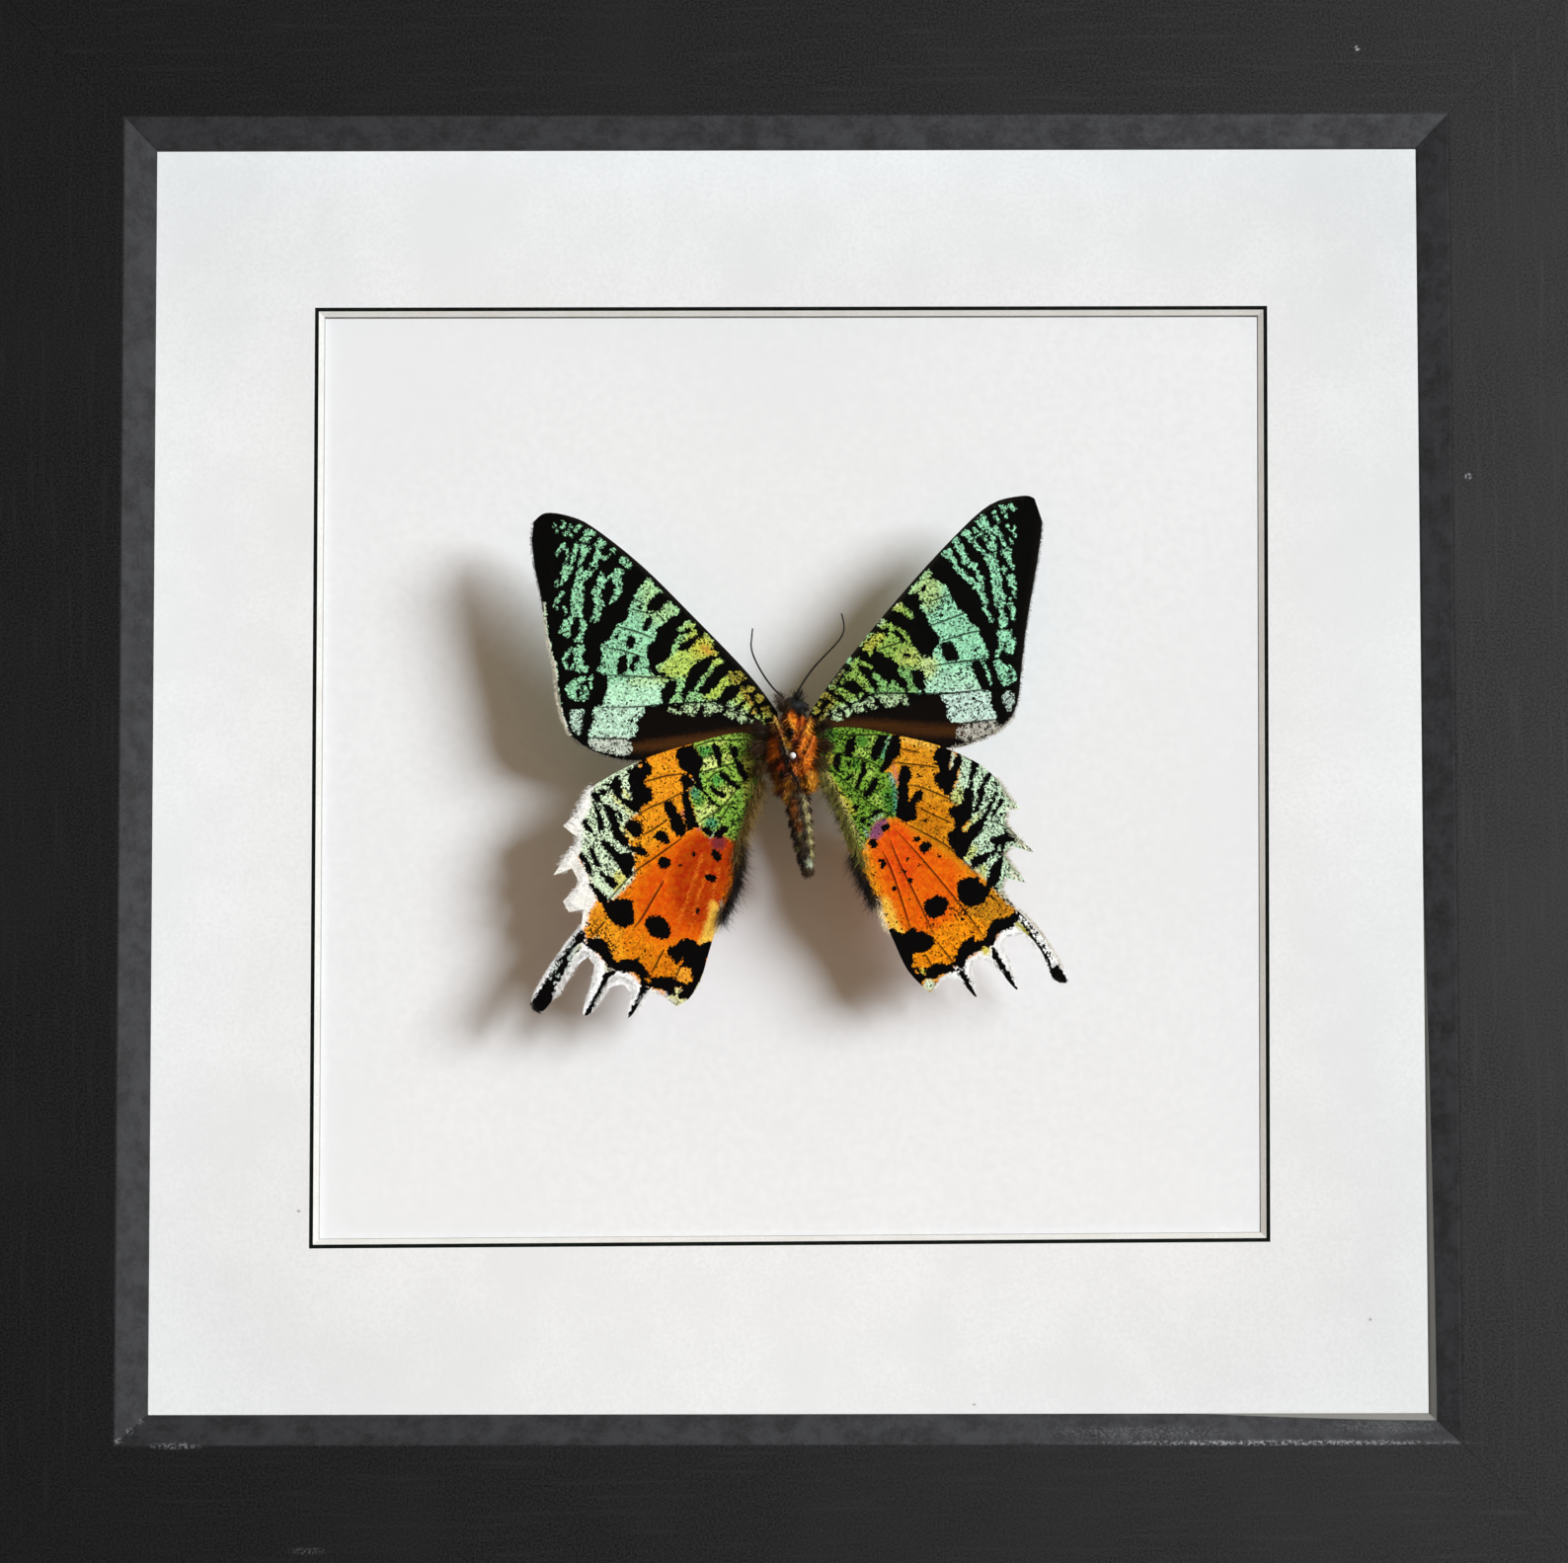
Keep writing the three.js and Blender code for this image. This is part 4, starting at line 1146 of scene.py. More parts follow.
LEFT_FORE_LIGHT = """
654 590,657 588,660 592,665 597,670 602,678 612,682 615,687 621,680 625,674 630,668 635,664 639,663 645,
660 650,656 654,654 660,654 667,656 672,656 680,660 683,663 686,672 688,660 688,640 686,617 685,612 684,
605 680,608 675,610 670,610 663,609 656,613 653,618 649,621 644,623 640,626 635,632 631,637 625,638 617,
641 612,643 606,646 602,648 597,651 594;617 687,640 688,660 688,675 689,672 695,668 700,668 706,667 714,
640 716,615 716,612 713,613 706,616 699,616 692;603 718,625 717,650 717,651 723,648 727,645 730,643 733,
645 738,642 743,641 747,620 748,597 747,597 742,600 737,602 730;597 751,610 749,630 750,636 753,640 758,
638 763,630 765,617 763,606 760,597 755;688 645,690 644,693 647,699 644,709 645,716 650,720 657,717 660,
727 663,724 665,716 665,709 668,704 672,700 676,697 680,694 686,692 689,686 690,680 688,674 683,667 680,
666 676,672 673,677 669,680 664,681 658,683 653,686 648;~2.2 694 646,699 644,703 641;687 639,690 637,
694 633,698 631,701 634,703 634,700 637,695 637,690 640;~1.5 714 644,718 648,721 652;686 690,692 690,
692 695,690 699,689 704,690 711,685 713,678 713,681 708,684 704,686 699,687 695;~2.6 726 671,721 677,
715 685,709 693,704 701;723 671,727 669,731 670,730 673,726 673;~1.5 705 704,714 708;696 711,697 705,
700 702,703 704,702 710;704 705,708 707,712 710,706 711,704 709;736 686,740 688,740 692,735 696,730 702,
725 708,719 709,715 707,719 703,726 697,731 691;737 683,741 682,745 688,748 692,744 694,741 692;746 682,
749 681,752 685,755 689,751 690,747 686;o760 699 4 2.5;748 703,750 703,753 709,749 712,745 716,741 718,
737 715,741 711,746 709;o769 709 4 3.5;~1.2 751 698,754 702;~1.5 755 706,761 714;756 714,759 717,757 722,
752 723,750 721,753 718;o764 722 1.5 2;771 719,776 716,779 717,774 720;772 723,779 722,780 725,775 727;
691 716,697 714,709 714,707 718,704 722,702 725,697 724,692 720;~1.5 678 721,684 722;o679 719 1;
o688 723 1;713 714,719 713,727 715,731 718,728 721,722 722,716 726,713 723,714 719;736 722,740 721,
746 724,742 728,738 727,734 725;749 726,753 725,757 730,753 732,748 731;~1.2 763 724,768 728;~1.2 768 726,
774 734;o761 732 1.5;~1.5 783 729,786 736"""
LEFT_FORE_DARK = """
670 602,664 604,658 609,655 615,655 620,660 621,665 621,669 619,672 614,677 611,690 615,690 605,676 600;
651 634,653 630,656 627,659 625,660 628,659 633,657 637,654 640,651 639;635 648,637 645,640 645,642 648,
643 652,641 656,638 658,635 655;630 664,633 663,635 665,635 672,634 679,631 684,625 684,624 678,625 672,
627 667;641 667,645 665,647 666,646 671,643 676,642 681,640 682,638 677,639 671;686 659,687 656,691 652,
696 650,703 646,709 643,711 645,706 650,703 654,697 659,691 661;o585.5 703 2.2 5;o611 672 1.5;
o613 676 1.3;o624 646 2.5 1.5;o639 732 1.8;o648 617 1.5;~1.5 655 622,660 622"""
LEFT_FORE_FRINGE = "~4 551 612,553 640,557 660,562 680,563 700,566 715,571 733,578 746"
LEFT_FORE_VEINS = """
625 636,635 638,650 643,661 648;609 656,625 659,640 663,654 668;604 684,640 686,676 688,686 690;597 748,
630 749;600 717,640 717,668 715,700 713,720 713,732 719,775 732;640 750,700 752,785 742;640 607,652 613;
638 618,655 622;664 622,673 630;700 690,715 680"""
LEFT_FORE_TINTS = f"""
10 #b0dd9c: 648 588,662 590,690 620,672 634,652 624/
6 #c0f4cc: 611 694,674 692,670 716,609 716/
4 #bfe8b0: 640 687,675 686,674 694,640 696/
5 #c6ecd0: 598 717,652 716,648 749,596 749/
3 #c8d2c2: 592 750,645 749,645 768,592 768/
5 #bfdcc8: 570 717,592 717,592 750,570 750/
9 #bcd866: 684 640,704 630,724 650,745 684,790 726,775 742,742 716,712 690,690 700,664 682,676 664/
6 #c9c94c: 702 645,718 648,728 664,712 668,700 664/
3 #d0a43c: 710 655,718 656,724 664,712 663;o741 688 4/
4 #9fd992: 684 640,694 638,694 646,684 662,678 664;~5 722 676,704 701;676 690,712 690,712 713,676 714/
4 #b6cf58: 712 704,736 684,742 692,722 712/
5 #a89c3c: 735 680,756 678,784 714,780 728,756 712/
2 #d0a43c: o763 722 3;~3 755 706,761 714;~3 783 729,786 736/
4 #bcd6a4: 676 715,735 714,764 727,766 737,745 737,676 728/
1.5 #efe4d4: {LEFT_FORE_FRINGE}"""
LEFT_FORE_SHADES = """
2 #1c1914: ~7 787 722,758 684,706 630,650 574.5,600 535,575 523.5/
6 #0d0806: 640 718,700 726,760 734,780 742,700 762,640 768/
5 #4a2c12: ~11 640 758,700 752,750 745,790 740"""
LEFT_FORE_FLECKS = f"""
8 0.75: 560 528,612 540,640 575,620 640,560 720/
4 0.3: 613 696,668 696,666 715,612 715/
4 1.1: 676 712,735 710,790 726,780 742,745 740,676 730;735 680,756 678,788 716,780 730,756 712/
2 -0.4: {LEFT_FORE_FRINGE}"""

# %% Left fore wing
LEFT_FORE_EDGES = (
    (lift_light, LEFT_FORE_TIP, 0.6),
    (lift_light, LEFT_FORE_LIGHT, 0.9),
    (lift_light, LEFT_FORE_FRINGE, 0.0),
    (add_dark, LEFT_FORE_DARK, 0.2),
)
make_wing("left_forewing", LEFT_FORE_OUTLINE,
          dict(tint="#9fe0b2", shade="#050504", black=True, fleck=0.5),
          {"tint": LEFT_FORE_TINTS, "shade": LEFT_FORE_SHADES, "fleck": LEFT_FORE_FLECKS},
          LEFT_FORE_EDGES, LEFT_FORE_VEINS, FORE_FORWARD, (787, 728))

# %% [markdown]
# ## Right fore wing
# The right wing is the left one's partner but not its mirror: bars join and break at other places,
# and its lower corner is greyer. It gets marks of its own, read in the same way.

# %% Right fore wing marks
RIGHT_FORE_OUTLINE = """
s819 724,850 680,910 607,965 547,1003 513,1036 504,1048 506.5;
s1056 530,1053 556,1047 592,1040 632,1034 680,1031 708,1024 729;
s1012 740,990 751,962 759,890 756,818 748"""
RIGHT_FORE_TIP = """
1021 513,1024 512,1026 514,1029 516,1028 519,1025 519,1023 516;~1.5 1013 514,1016 518;o1017 516 1.5;
~1.6 1016 520,1019 522;o1019 526 1;~1.5 1008 517,1007 523,1008 527;~1.5 1010 525,1012 530;~1.2 986 537,
989 541;o1017 553 2;o1017 579 2 3;988 531,991 528,996 524,999 528,1001 532,1003 535,1000 537,995 537,
992 533;975 542,979 539,981 540,983 544,980 546,977 545;981 549,986 545,988 549,990 553,993 557,997 560,
999 564,996 563,992 559,988 556,986 551;991 543,996 541,998 545,1000 548,1002 551,1008 551,1010 557,
1008 560,1004 559,1001 556,1000 552,997 548,994 546;999 540,1003 539,1004 543,1006 545,1008 548,1007 550,
1005 548,1002 544;1004 538,1008 536,1011 537,1012 541,1015 545,1016 549,1014 549,1012 545,1009 542,
1006 542;~1 1020 533,1023 538,1027 540;o1028 544 1;~1 1023 547,1025 552;o1028 536 0.8;~1.5 1026 601,
1028 605;o1023 608 1;1014 560,1019 558,1023 557,1024 562,1023 567,1024 570,1020 570,1018 565;~3 1023 572,
1026 577;1020 586,1026 585,1028 591,1029 597,1028 600,1025 597,1022 592;~4 1021 613,1026 618,1026 628;
998 566,1002 563,1007 563,1009 568,1010 574,1012 581,1012 585,1004 586,1004 581,1002 575,1000 570;
1005 590,1010 587,1014 587,1014 593,1014 600,1017 604,1018 609,1013 611,1008 611,1007 605,1006 598;
1007 613,1013 612,1018 613,1016 617,1017 622,1018 627,1020 630,1020 636,1013 636,1012 630,1013 624,
1012 619;954 563,958 560,961 557,964 561,965 566,968 570,968 574,965 572,962 569,960 567;~2.2 967 576,
970 578,972 580;971 582,975 579,977 582,981 586,985 589,988 592,984 593,980 591,976 587;965 551,968 548,
971 550,969 553,967 553;968 556,974 553,976 557,977 562,980 568,981 571,978 574,975 570,973 563,970 559;
980 575,984 573,989 572,989 577,991 581,994 585,996 588,995 591,991 588,989 583,986 579;985 597,990 593,
995 592,996 597,995 602,998 607,1000 611,998 615,995 611,993 605,990 600;~2.2 996 617,999 622,1002 626,
1005 632;1011 640,1016 639,1020 642,1024 641,1024 645,1020 647,1020 650,1015 650,1012 648,1011 644;
1020 650,1026 648,1028 652,1027 658,1025 662,1021 664,1019 661,1020 656;~3 1014 650,1013 657,1010 664;
o1010 666 1.5;1007 672,1011 670,1016 674,1020 676,1022 678,1020 683,1021 688,1025 690,1023 693,1016 695,
1013 692,1011 686,1009 679;~2.5 1022 677,1027 683,1027 689,1024 692;1016 705,1020 703,1025 704,1027 707,
1026 712,1024 718,1021 722,1019 716,1016 711"""
RIGHT_FORE_LIGHT = """
936 603,938 596,941 591,946 590,952 593,957 596,961 604,964 608,967 614,970 619,975 622,978 627,981 632,
986 636,991 640,991 644,994 650,997 657,1000 668,985 670,970 671,969 674,958 675,946 677,940 679,937 683,
935 680,931 679,926 678,931 673,936 668,941 668,945 670,946 663,950 657,953 653,952 649,951 644,948 641,
944 637,942 631,939 625,937 620,933 618,935 613,935 608;921 602,924 598,928 593,932 590,936 583,941 580,
942 584,938 590,933 596,928 601;o933 605 2 4;937 680,945 678,958 676,970 674,981 672,983 678,986 686,
989 693,992 698,985 700,970 702,955 703,939 703,938 697,937 690;~1.2 995 673,998 678;~1.4 1000 682,
1002 689,1003 695;954 706,970 705,985 703,1001 702,1002 708,1001 713,1004 719,1007 724,1008 728,1000 731,
985 733,970 733,963 731,960 727,960 721,958 715,956 710;969 742,975 738,985 735,998 733,1008 731,1012 736,
1008 741,1000 745,990 748,980 751,972 750,969 746;905 620,907 616,912 613,914 617,918 618,922 621,924 626,
921 627,917 624,913 621,908 620;~1.2 889 635,894 630;891 636,895 632,899 633,903 636,905 638,902 640,
898 637,893 638;~1.5 908 638,912 640,915 643;915 643,918 645,921 650,922 655,919 653,917 648;~1.2 872 655,
877 649,881 645;o881 663 1.5;~2 896 664,900 666;875 659,877 655,881 650,885 645,890 644,895 644,894 648,
889 652,885 656,881 660,877 660;888 657,892 653,897 650,901 643,903 643,906 647,911 650,912 655,917 653,
920 654,924 658,928 662,931 666,930 671,926 677,920 680,913 678,908 673,904 668,900 663,895 662,890 660;
910 680,914 681,920 680,921 685,923 691,926 697,927 699,921 699,919 693,917 688,913 685;~2.2 921 701,
928 702,932 703;857 672,860 668,863 670,862 673,859 674;862 677,863 673,866 670,869 669,868 673,865 678;
~2 870 672,875 674,881 677;854 687,857 683,862 682,868 680,872 684,876 689,879 694,882 699,885 702,
883 704,880 702,876 699,872 694,868 690,863 688,858 689;884 685,886 684,890 687,893 690,897 693,898 696,
894 697,892 700,890 696,888 691;o872 706 1.5;o853 691 1.2 2;887 703,891 700,896 698,901 696,904 692,
907 694,909 698,913 700,915 703,905 704,895 704;846 701,849 698,854 699,858 703,863 705,867 709,868 711,
862 712,857 708,851 704;839 697,842 694,845 697,842 699;~1.5 842 695,848 688,853 681;o835 706 4 3;
~2 841 708,846 712,850 716;850 716,853 713,857 717,854 719;o830 714 2;o826 721 3 2.5;~3 840 715,837 722,
833 729,830 735;o844 718 2;o845 722 1.5;885 707,890 706,900 705,908 705,912 707,910 712,905 716,898 717,
894 714,891 709;~1.5 914 706,917 708;o916 712 1.5;o919 715 1;863 718,867 714,871 713,874 713,873 717,
877 720,872 721,868 722;875 712,880 709,884 711,883 714,887 718,883 719,880 716,878 713;855 721,858 719,
861 719,862 724,858 726,856 724;842 728,846 726,850 723,852 727,852 730,846 730"""
RIGHT_FORE_DARK = """
954 654,958 653,963 652,967 657,969 662,971 668,970 671,963 672,958 671,955 665,953 659;o918 665 4 3;
~2 988 659,988 664;~1.6 1021 679,1022 687;~2 982 710,986 709;~1.5 945 629,955 624;~1.5 948 620,957 613"""
RIGHT_FORE_VEINS = """
943 635,958 630,976 623,1004 612;952 652,970 646,991 641,1030 638;940 677,958 674,980 671,1000 669,
1030 668;846 722,870 711,888 704,938 704,960 704,1000 700,1028 698;840 737,900 737,963 735,985 733,
1010 730;940 612,962 604;888 660,912 652;840 742,900 748,950 752"""
RIGHT_FORE_TINTS = """
8 #b4d68c: 918 604,942 578,954 592,950 612,938 620,930 612/
8 #b4e6c4: 940 686,990 680,996 704,936 706/
5 #c4dd94: 926 670,942 664,950 678,940 690,930 684/
5 #c6e4d4: 950 705,1004 702,1010 732,955 736/
3 #b2b0a2: 960 736,1014 731,1014 745,985 755,960 755/
4 #b2c8bc: 1012 700,1030 700,1028 724,1014 724/
7 #96bd56: 908 606,926 622,930 664,926 682,884 704,850 722,826 736,826 716,856 676,890 632/
5 #b8cc68: 914 660,930 660,932 672,920 678,908 672;904 612,914 612,912 620,904 620/
4 #bec24c: 872 656,884 644,896 642,892 652,880 662/
4 #86c070: 882 682,916 690,918 706,886 706;908 680,924 680,930 704,916 704/
4 #a8a040: 826 700,846 702,842 722,836 740,822 728/
1.5 #8a5a34: ~3 842 695,848 688,853 681/
1.5 #e4e2d0: ~3 905 615,909 611;~3 889 635,894 630/
4 #b6d2a2: 840 722,886 706,925 706,922 720,860 730,842 734"""
RIGHT_FORE_SHADES = """
2 #1c1914: ~7 819 724,850 680,910 607,965 547,1003 513,1036 504/
6 #0d0806: 960 706,900 720,840 732,830 744,900 760,965 762/
5 #43270f: ~11 828 734,880 736,940 741,984 742/
4 #15110e: ~6 1056 530,1047 592,1040 632,1034 680,1031 708,1020 734"""
RIGHT_FORE_FLECKS = """
8 0.85: 985 505,1040 505,1036 730,1010 730,1004 640,985 560/
3 1.1: 944 604,964 604,966 616,950 628,942 626/
4 1.1: 830 738,846 722,886 705,925 705,922 722,860 734;820 730,836 698,856 678,868 690,846 722/
4 0.9: 964 734,1014 730,1014 756,964 756"""

# %% Right fore wing
RIGHT_FORE_EDGES = (
    (lift_light, RIGHT_FORE_TIP, 0.6),
    (lift_light, RIGHT_FORE_LIGHT, 0.9),
    (add_dark, RIGHT_FORE_DARK, 0.2),
)
make_wing("right_forewing", RIGHT_FORE_OUTLINE,
          dict(tint="#9ce0b6", shade="#050504", black=True, fleck=0.55),
          {"tint": RIGHT_FORE_TINTS, "shade": RIGHT_FORE_SHADES, "fleck": RIGHT_FORE_FLECKS},
          RIGHT_FORE_EDGES, RIGHT_FORE_VEINS, FORE_FORWARD, (819, 730))

# %% [markdown]
# ## Left hind wing
# The hind wing runs from green at the root through orange to a red field with black spots. Its outer
# margin is pale and barred, and it ends in three black tails with a white fringe between them.

# %% Left hind wing marks
LEFT_HIND_OUTLINE = """
s778 744,742 744.5,700 755,655 769,612 790,590 806;
t587 822,570 837,587 851,573 868,560 887,579 880,586 893,582 901;
t570 913,576 924,591 921,588 940;
s574 953,551 987,538 1014,547 1025,561 1010,577 984,595 969;
s602 978,597 1001,590 1025,599 1025,616 1001,632 997;
s639 1007,635 1029,641 1026,655 1005,670 1008,685 1019;
s697 1011.5,709 993,721 953,731 930,747 895,748 868,761 822,775 776"""
LEFT_HIND_DARK = """
686 760,694 757,701 756,703 758,706 763,710 768,711 772,710 778,709 782,708 786,709 790,710 797,713 802,
716 805,719 809,724 814,730 818,729 820,726 819,721 816,717 811,714 806,710 803,706 800,704 797,703 792,
700 788,696 785,693 783,690 780,687 776,685 770,685 764;689 790,692 786,697 786,700 790,703 795,700 799,
697 800,692 801,690 796;690 806,697 801,698 810,701 818,703 826,705 833,708 838,705 840,699 841,696 842,
694 836,693 828,692 820,691 813;672 818,673 814,677 812,681 813,684 817,686 823,689 827,692 833,694 839,
694 844,690 848,685 846,681 842,679 836,678 830,674 826,672 822;663 846,665 843,669 842,673 843,676 847,
677 852,678 855,674 856,669 854,665 851,663 849;o672.5 874.5 6.5 6;654 769,655 773,658 777,660 780,
659 785,656 787,653 790,652 793,654 797,658 800,660 803,661 808,659 813,655 815,652 817,649 820,648 823,
643 825,640 822,636 820,632 816,629 812,630 809,635 811,639 812,639 806,638 800,637 797,636 792,637 787,
635 783,640 778,646 774,650 771;619 790,622 788,626 787,628 791,629 797,630 801,629 806,632 810,630 813,
627 811,623 807,621 802,618 799,616 796,619 794;606 802,609 799,612 801,616 803,613 806,609 806;
~2 613 795,617 797,619 800;598 806,600 803,604 803,607 808,609 812,612 815,618 818,624 821,628 822,
630 826,631 830,629 833,627 838,630 844,634 847,637 852,636 857,632 858,627 855,623 851,620 847,619 842,
617 836,615 830,613 825,610 820,607 816,603 814;600 812,603 815,605 818,607 822,609 828,611 834,612 840,
611 843,607 842,605 836,604 830,603 824,601 819,599 813;632 838,634 834,638 831,644 832,649 836,651 841,
650 846,647 849,642 848,638 845,634 841;636 860,641 858,647 858,653 860,655 864,657 868,651 868,645 866,
640 863;607 850,612 852,617 855,622 860,625 863,632 865,638 865,642 869,643 874,641 879,640 884,637 889,
634 890,631 886,628 881,625 877,622 873,620 869,615 864,611 859,608 855;597 858,600 860,603 864,604 869,
607 874,608 880,605 879,601 874,599 869,597 864;586 866,589 863,592 867,594 871,598 876,600 882,601 888,
597 887,593 882,590 876,587 871;589 833,592 831,595 834,598 838,601 844,602 848,598 845,594 841,591 837;
608 882,612 885,618 887,622 891,625 896,624 900,619 899,615 895,611 890,609 887;596 896,600 896,604 900,
609 903,613 907,616 911,612 917,608 915,604 909,601 903;611 919,614 915,618 912,624 912,630 911,637 911,
641 914,641 920,642 927,642 933,639 937,634 940,628 939,622 936,617 931,613 925;653 934,655 930,660 928,
666 928,672 931,676 935,678 940,679 945,677 950,671 951,664 950,659 948,656 943,653 938;675 964,678 959,
683 957,689 953,696 951,702 952,706 956,708 958,714 955,721 953,719 962,716 970,713 980,710 990,705 999,
701 1008,696 1012,692 1004,697 999,700 993,699 984,698 981,692 979,688 979,684 976,679 970;592 950,
600 950,608 951,613 953,616 958,618 964,621 970,625 975,630 972,637 972,644 971,649 975,652 980,657 986,
662 990,670 990,680 990,687 993,694 996,700 994,704 998,698 1007,690 1012,684 1008,676 1008,672 1004,
667 1001,660 1000,655 999,650 999,648 996,648 990,644 986,638 985,632 984,626 984,622 981,617 980,613 976,
610 971,606 966,600 963,594 958;588 941,592 945,594 952,590 955,587 960,580 967,577 974,573 982,568 990,
563 999,561 1008,557 1018,552 1022,545 1024,539 1020,540 1012,545 1003,550 995,555 987,559 979,563 972,
568 966,573 960,578 953,583 946;619 981,614 984,610 990,607 998,603 1006,598 1014,594 1022,592 1028,
595 1029,600 1022,605 1013,610 1004,614 996,618 989,622 985;649 998,648 1004,645 1010,641 1018,636 1027,
637 1030,642 1025,648 1017,653 1009,657 1003,660 1001,654 999;721 757,724 755,727 756,729 760,730 765,
731 770,731 776,729 779,727 775,724 769,722 763;~2 741 818,747 821;738 754,742 757,746 758,747 763,
746 769,748 772,751 774,753 779,756 785,758 788,754 791,750 787,747 782,744 776,742 769,740 763;729 783,
733 784,738 788,744 793,749 797,750 800,746 800,740 797,734 792,729 787;719 796,722 799,728 802,733 805,
736 808,731 809,726 806,720 803,718 799;711 840,714 837,719 839,721 844,720 847,716 847,712 844;727 841,
730 838,736 837,738 841,735 845,730 849,724 849,722 846;o702.5 865.5 2.2 2.5;o706 923 2.8;o689 877.5 1;
o653 962 1.5;720 863,722 861,726 862,729 866,729 872,726 873,722 870;713 889,716 886,721 886,725 889,
724 894,719 894"""
LEFT_HIND_LIGHT = """
~2.5 605 813,610 820,613 828,616 836,618 842;~1.5 625 826,627 834;o648 777 1;~1.2 687 980,692 970;
o655 991 1.5;o658 994 1;683 1001,688 1000,689 1003,684 1006;~1.2 563 975,558 986;~1.2 568 972,562 984;
o557 990 1.2;o565 988 1.2;~1.5 582 952,575 961;o562 995 1;o570 966 1.2;~3 588 957,582 963,576 970;
~1.5 613 979,619 983;~1.2 678 1009,686 1014;o593 953 1.5"""
LEFT_HIND_VEINS = """
652 793,660 791,675 787,692 785;648 825,660 818,673 813,692 803;650 847,663 840,676 831;612 917,640 886,
665 868,690 850;598 950,612 934;642 940,650 930,660 913,672 893;660 985,672 962;709 783,720 781,732 777,
748 774;715 795,722 786,732 781;704 836,715 829,727 822,735 814,745 802,757 789;703 758,720 752,740 751,
758 750;728 834,735 822,742 812;684 990,689 979"""
LEFT_HIND_TAILS = """
530 1040,538 990,572 946,588 936,594 955,606 967,618 979,636 985,650 997,664 1003,680 1016,690 1032,
640 1045,560 1045"""
LEFT_HIND_FRINGE = """
604 794,599 803,599 815,592 830,590 845,588 862,587 872,594 885,600 897,604 910,596 926,590 940,560 930,
548 887,560 830,580 806"""
LEFT_HIND_GREEN = """
700 755,722 747,742 742,780 738,784 780,768 810,752 850,738 850,730 845,718 849,708 838,702 820,698 806,
704 795,708 780,709 768"""
# The last row, #e8761c, paints the pale veins of the red field as lit ridges: a painted highlight.
LEFT_HIND_TINTS = f"""
8 #ee800c: 708 838,660 862,640 886,612 914,636 950,660 990,700 985,722 940,738 880,730 850/
12 #e25a06: 744 842,690 852,660 876,642 912,660 945,690 952,720 944,742 880/
9 #b43a04: 744 846,706 846,688 866,680 900,690 932,716 936,734 900,742 870/
5 #f49c1e: 590 918,608 918,630 944,618 970,596 950/
6 #e6820e: 632 946,668 960,690 982,686 996,652 990,634 970/
2 #dcf2cc: 586 806,612 784,642 771,648 790,648 806,646 823,636 832,632 850,642 862,640 872,642 888,
628 905,612 914,600 896,588 868,586 836/
2 #e0dc78: ~3 627 837,633 843,640 850;622 884,634 886,632 896,622 904;~3 620 806,640 826;~4 630 800,
636 810/
2 #fffdf4: {LEFT_HIND_FRINGE}/
2 #96c24a: {LEFT_HIND_GREEN}/
3 #d8ea86: 711 770,721 766,728 778,712 782;704 820,713 822,711 834,706 834;715 814,726 819,718 828,713 824/
3 #cfe070: 730 799,746 800,738 812,727 812;733 764,740 766,738 774,732 774;~4 712 757,734 753/
2.5 #57a648: 705 760,719 757,720 767,710 768;703 812,712 808,708 818;722 786,733 790,726 798,720 792/
2.5 #4f9c6c: 698 800,704 798,709 806,702 810;714 832,724 829,727 838,716 840;~2 708 784,710 794/
3 #79a83c: 731 820,748 816,748 836,736 838;746 757,758 758,756 768,748 769;741 806,752 804,750 816,742 816/
3 #8a8a34: 750 770,766 770,770 800,756 822,752 800/
6 #3c5a1c: 762 742,782 740,778 790,762 820,750 852,744 850,754 815,762 785/
1.2 #c05a70: ~2 706 841,710 838;~2 690 822,693 832/
2 #7c2c34: 722 850,734 850,732 860,722 860/
1.0 #b9c8d8: ~1.6 718 851,723 843;~1.4 700 791,702 795/
2 #f6c04a: 719 913,728 918,728 932,724 947,720 954,708 957,711 945,716 930/
1.5 #f6e2a4: ~3 729 920,727 934,723 948/
2 #ffffff: {LEFT_HIND_TAILS}/
2 #d9d79a: ~5 588 957,582 963,576 970;o686 1004 5;o604 952 4;~3 613 979,619 983/
2 #c9d4cc: 554 1000,560 975,584 948,586 958,568 992/
2 #f3a02c: 688 979,700 981,699 992,692 996,684 991/
1.5 #d8d69c: 676 1004,690 1008,700 1000,712 985,724 950,730 954,712 1000,697 1020,676 1016/
0.9 #e8761c: ~1.4 652 928,662 905,680 880;~1.4 682 948,692 920,703 890,712 862;~1.4 698 946,708 905,
718 880;~1.4 716 930,722 905,728 880"""
LEFT_HIND_FLECKS = f"""
8 -0.5: 708 838,668 868,640 914,656 950,700 960,722 940,738 880,730 850/
3 1.0: {LEFT_HIND_GREEN};586 806,640 776,650 820,644 880,600 890;590 930,612 934,626 966,600 950/
2 -0.4: {LEFT_HIND_FRINGE};{LEFT_HIND_TAILS}"""

# %% Left hind wing
LEFT_HIND_EDGES = (
    (add_dark, LEFT_HIND_DARK, 0.2),
    (lift_light, LEFT_HIND_LIGHT, 0.3),
)
make_wing("left_hindwing", LEFT_HIND_OUTLINE,
          dict(tint="#f39a1c", shade="#050404", black=False, fleck=0.1),
          {"tint": LEFT_HIND_TINTS, "fleck": LEFT_HIND_FLECKS},
          LEFT_HIND_EDGES, LEFT_HIND_VEINS, HIND_FORWARD, (775, 760))

# %% [markdown]
# ## Right hind wing
# The right hind wing has wider black bars over its orange, a dark first tail that curls outward and
# two short tails. The fringe on this side is thinner, with cream hairs on the teeth of the margin.

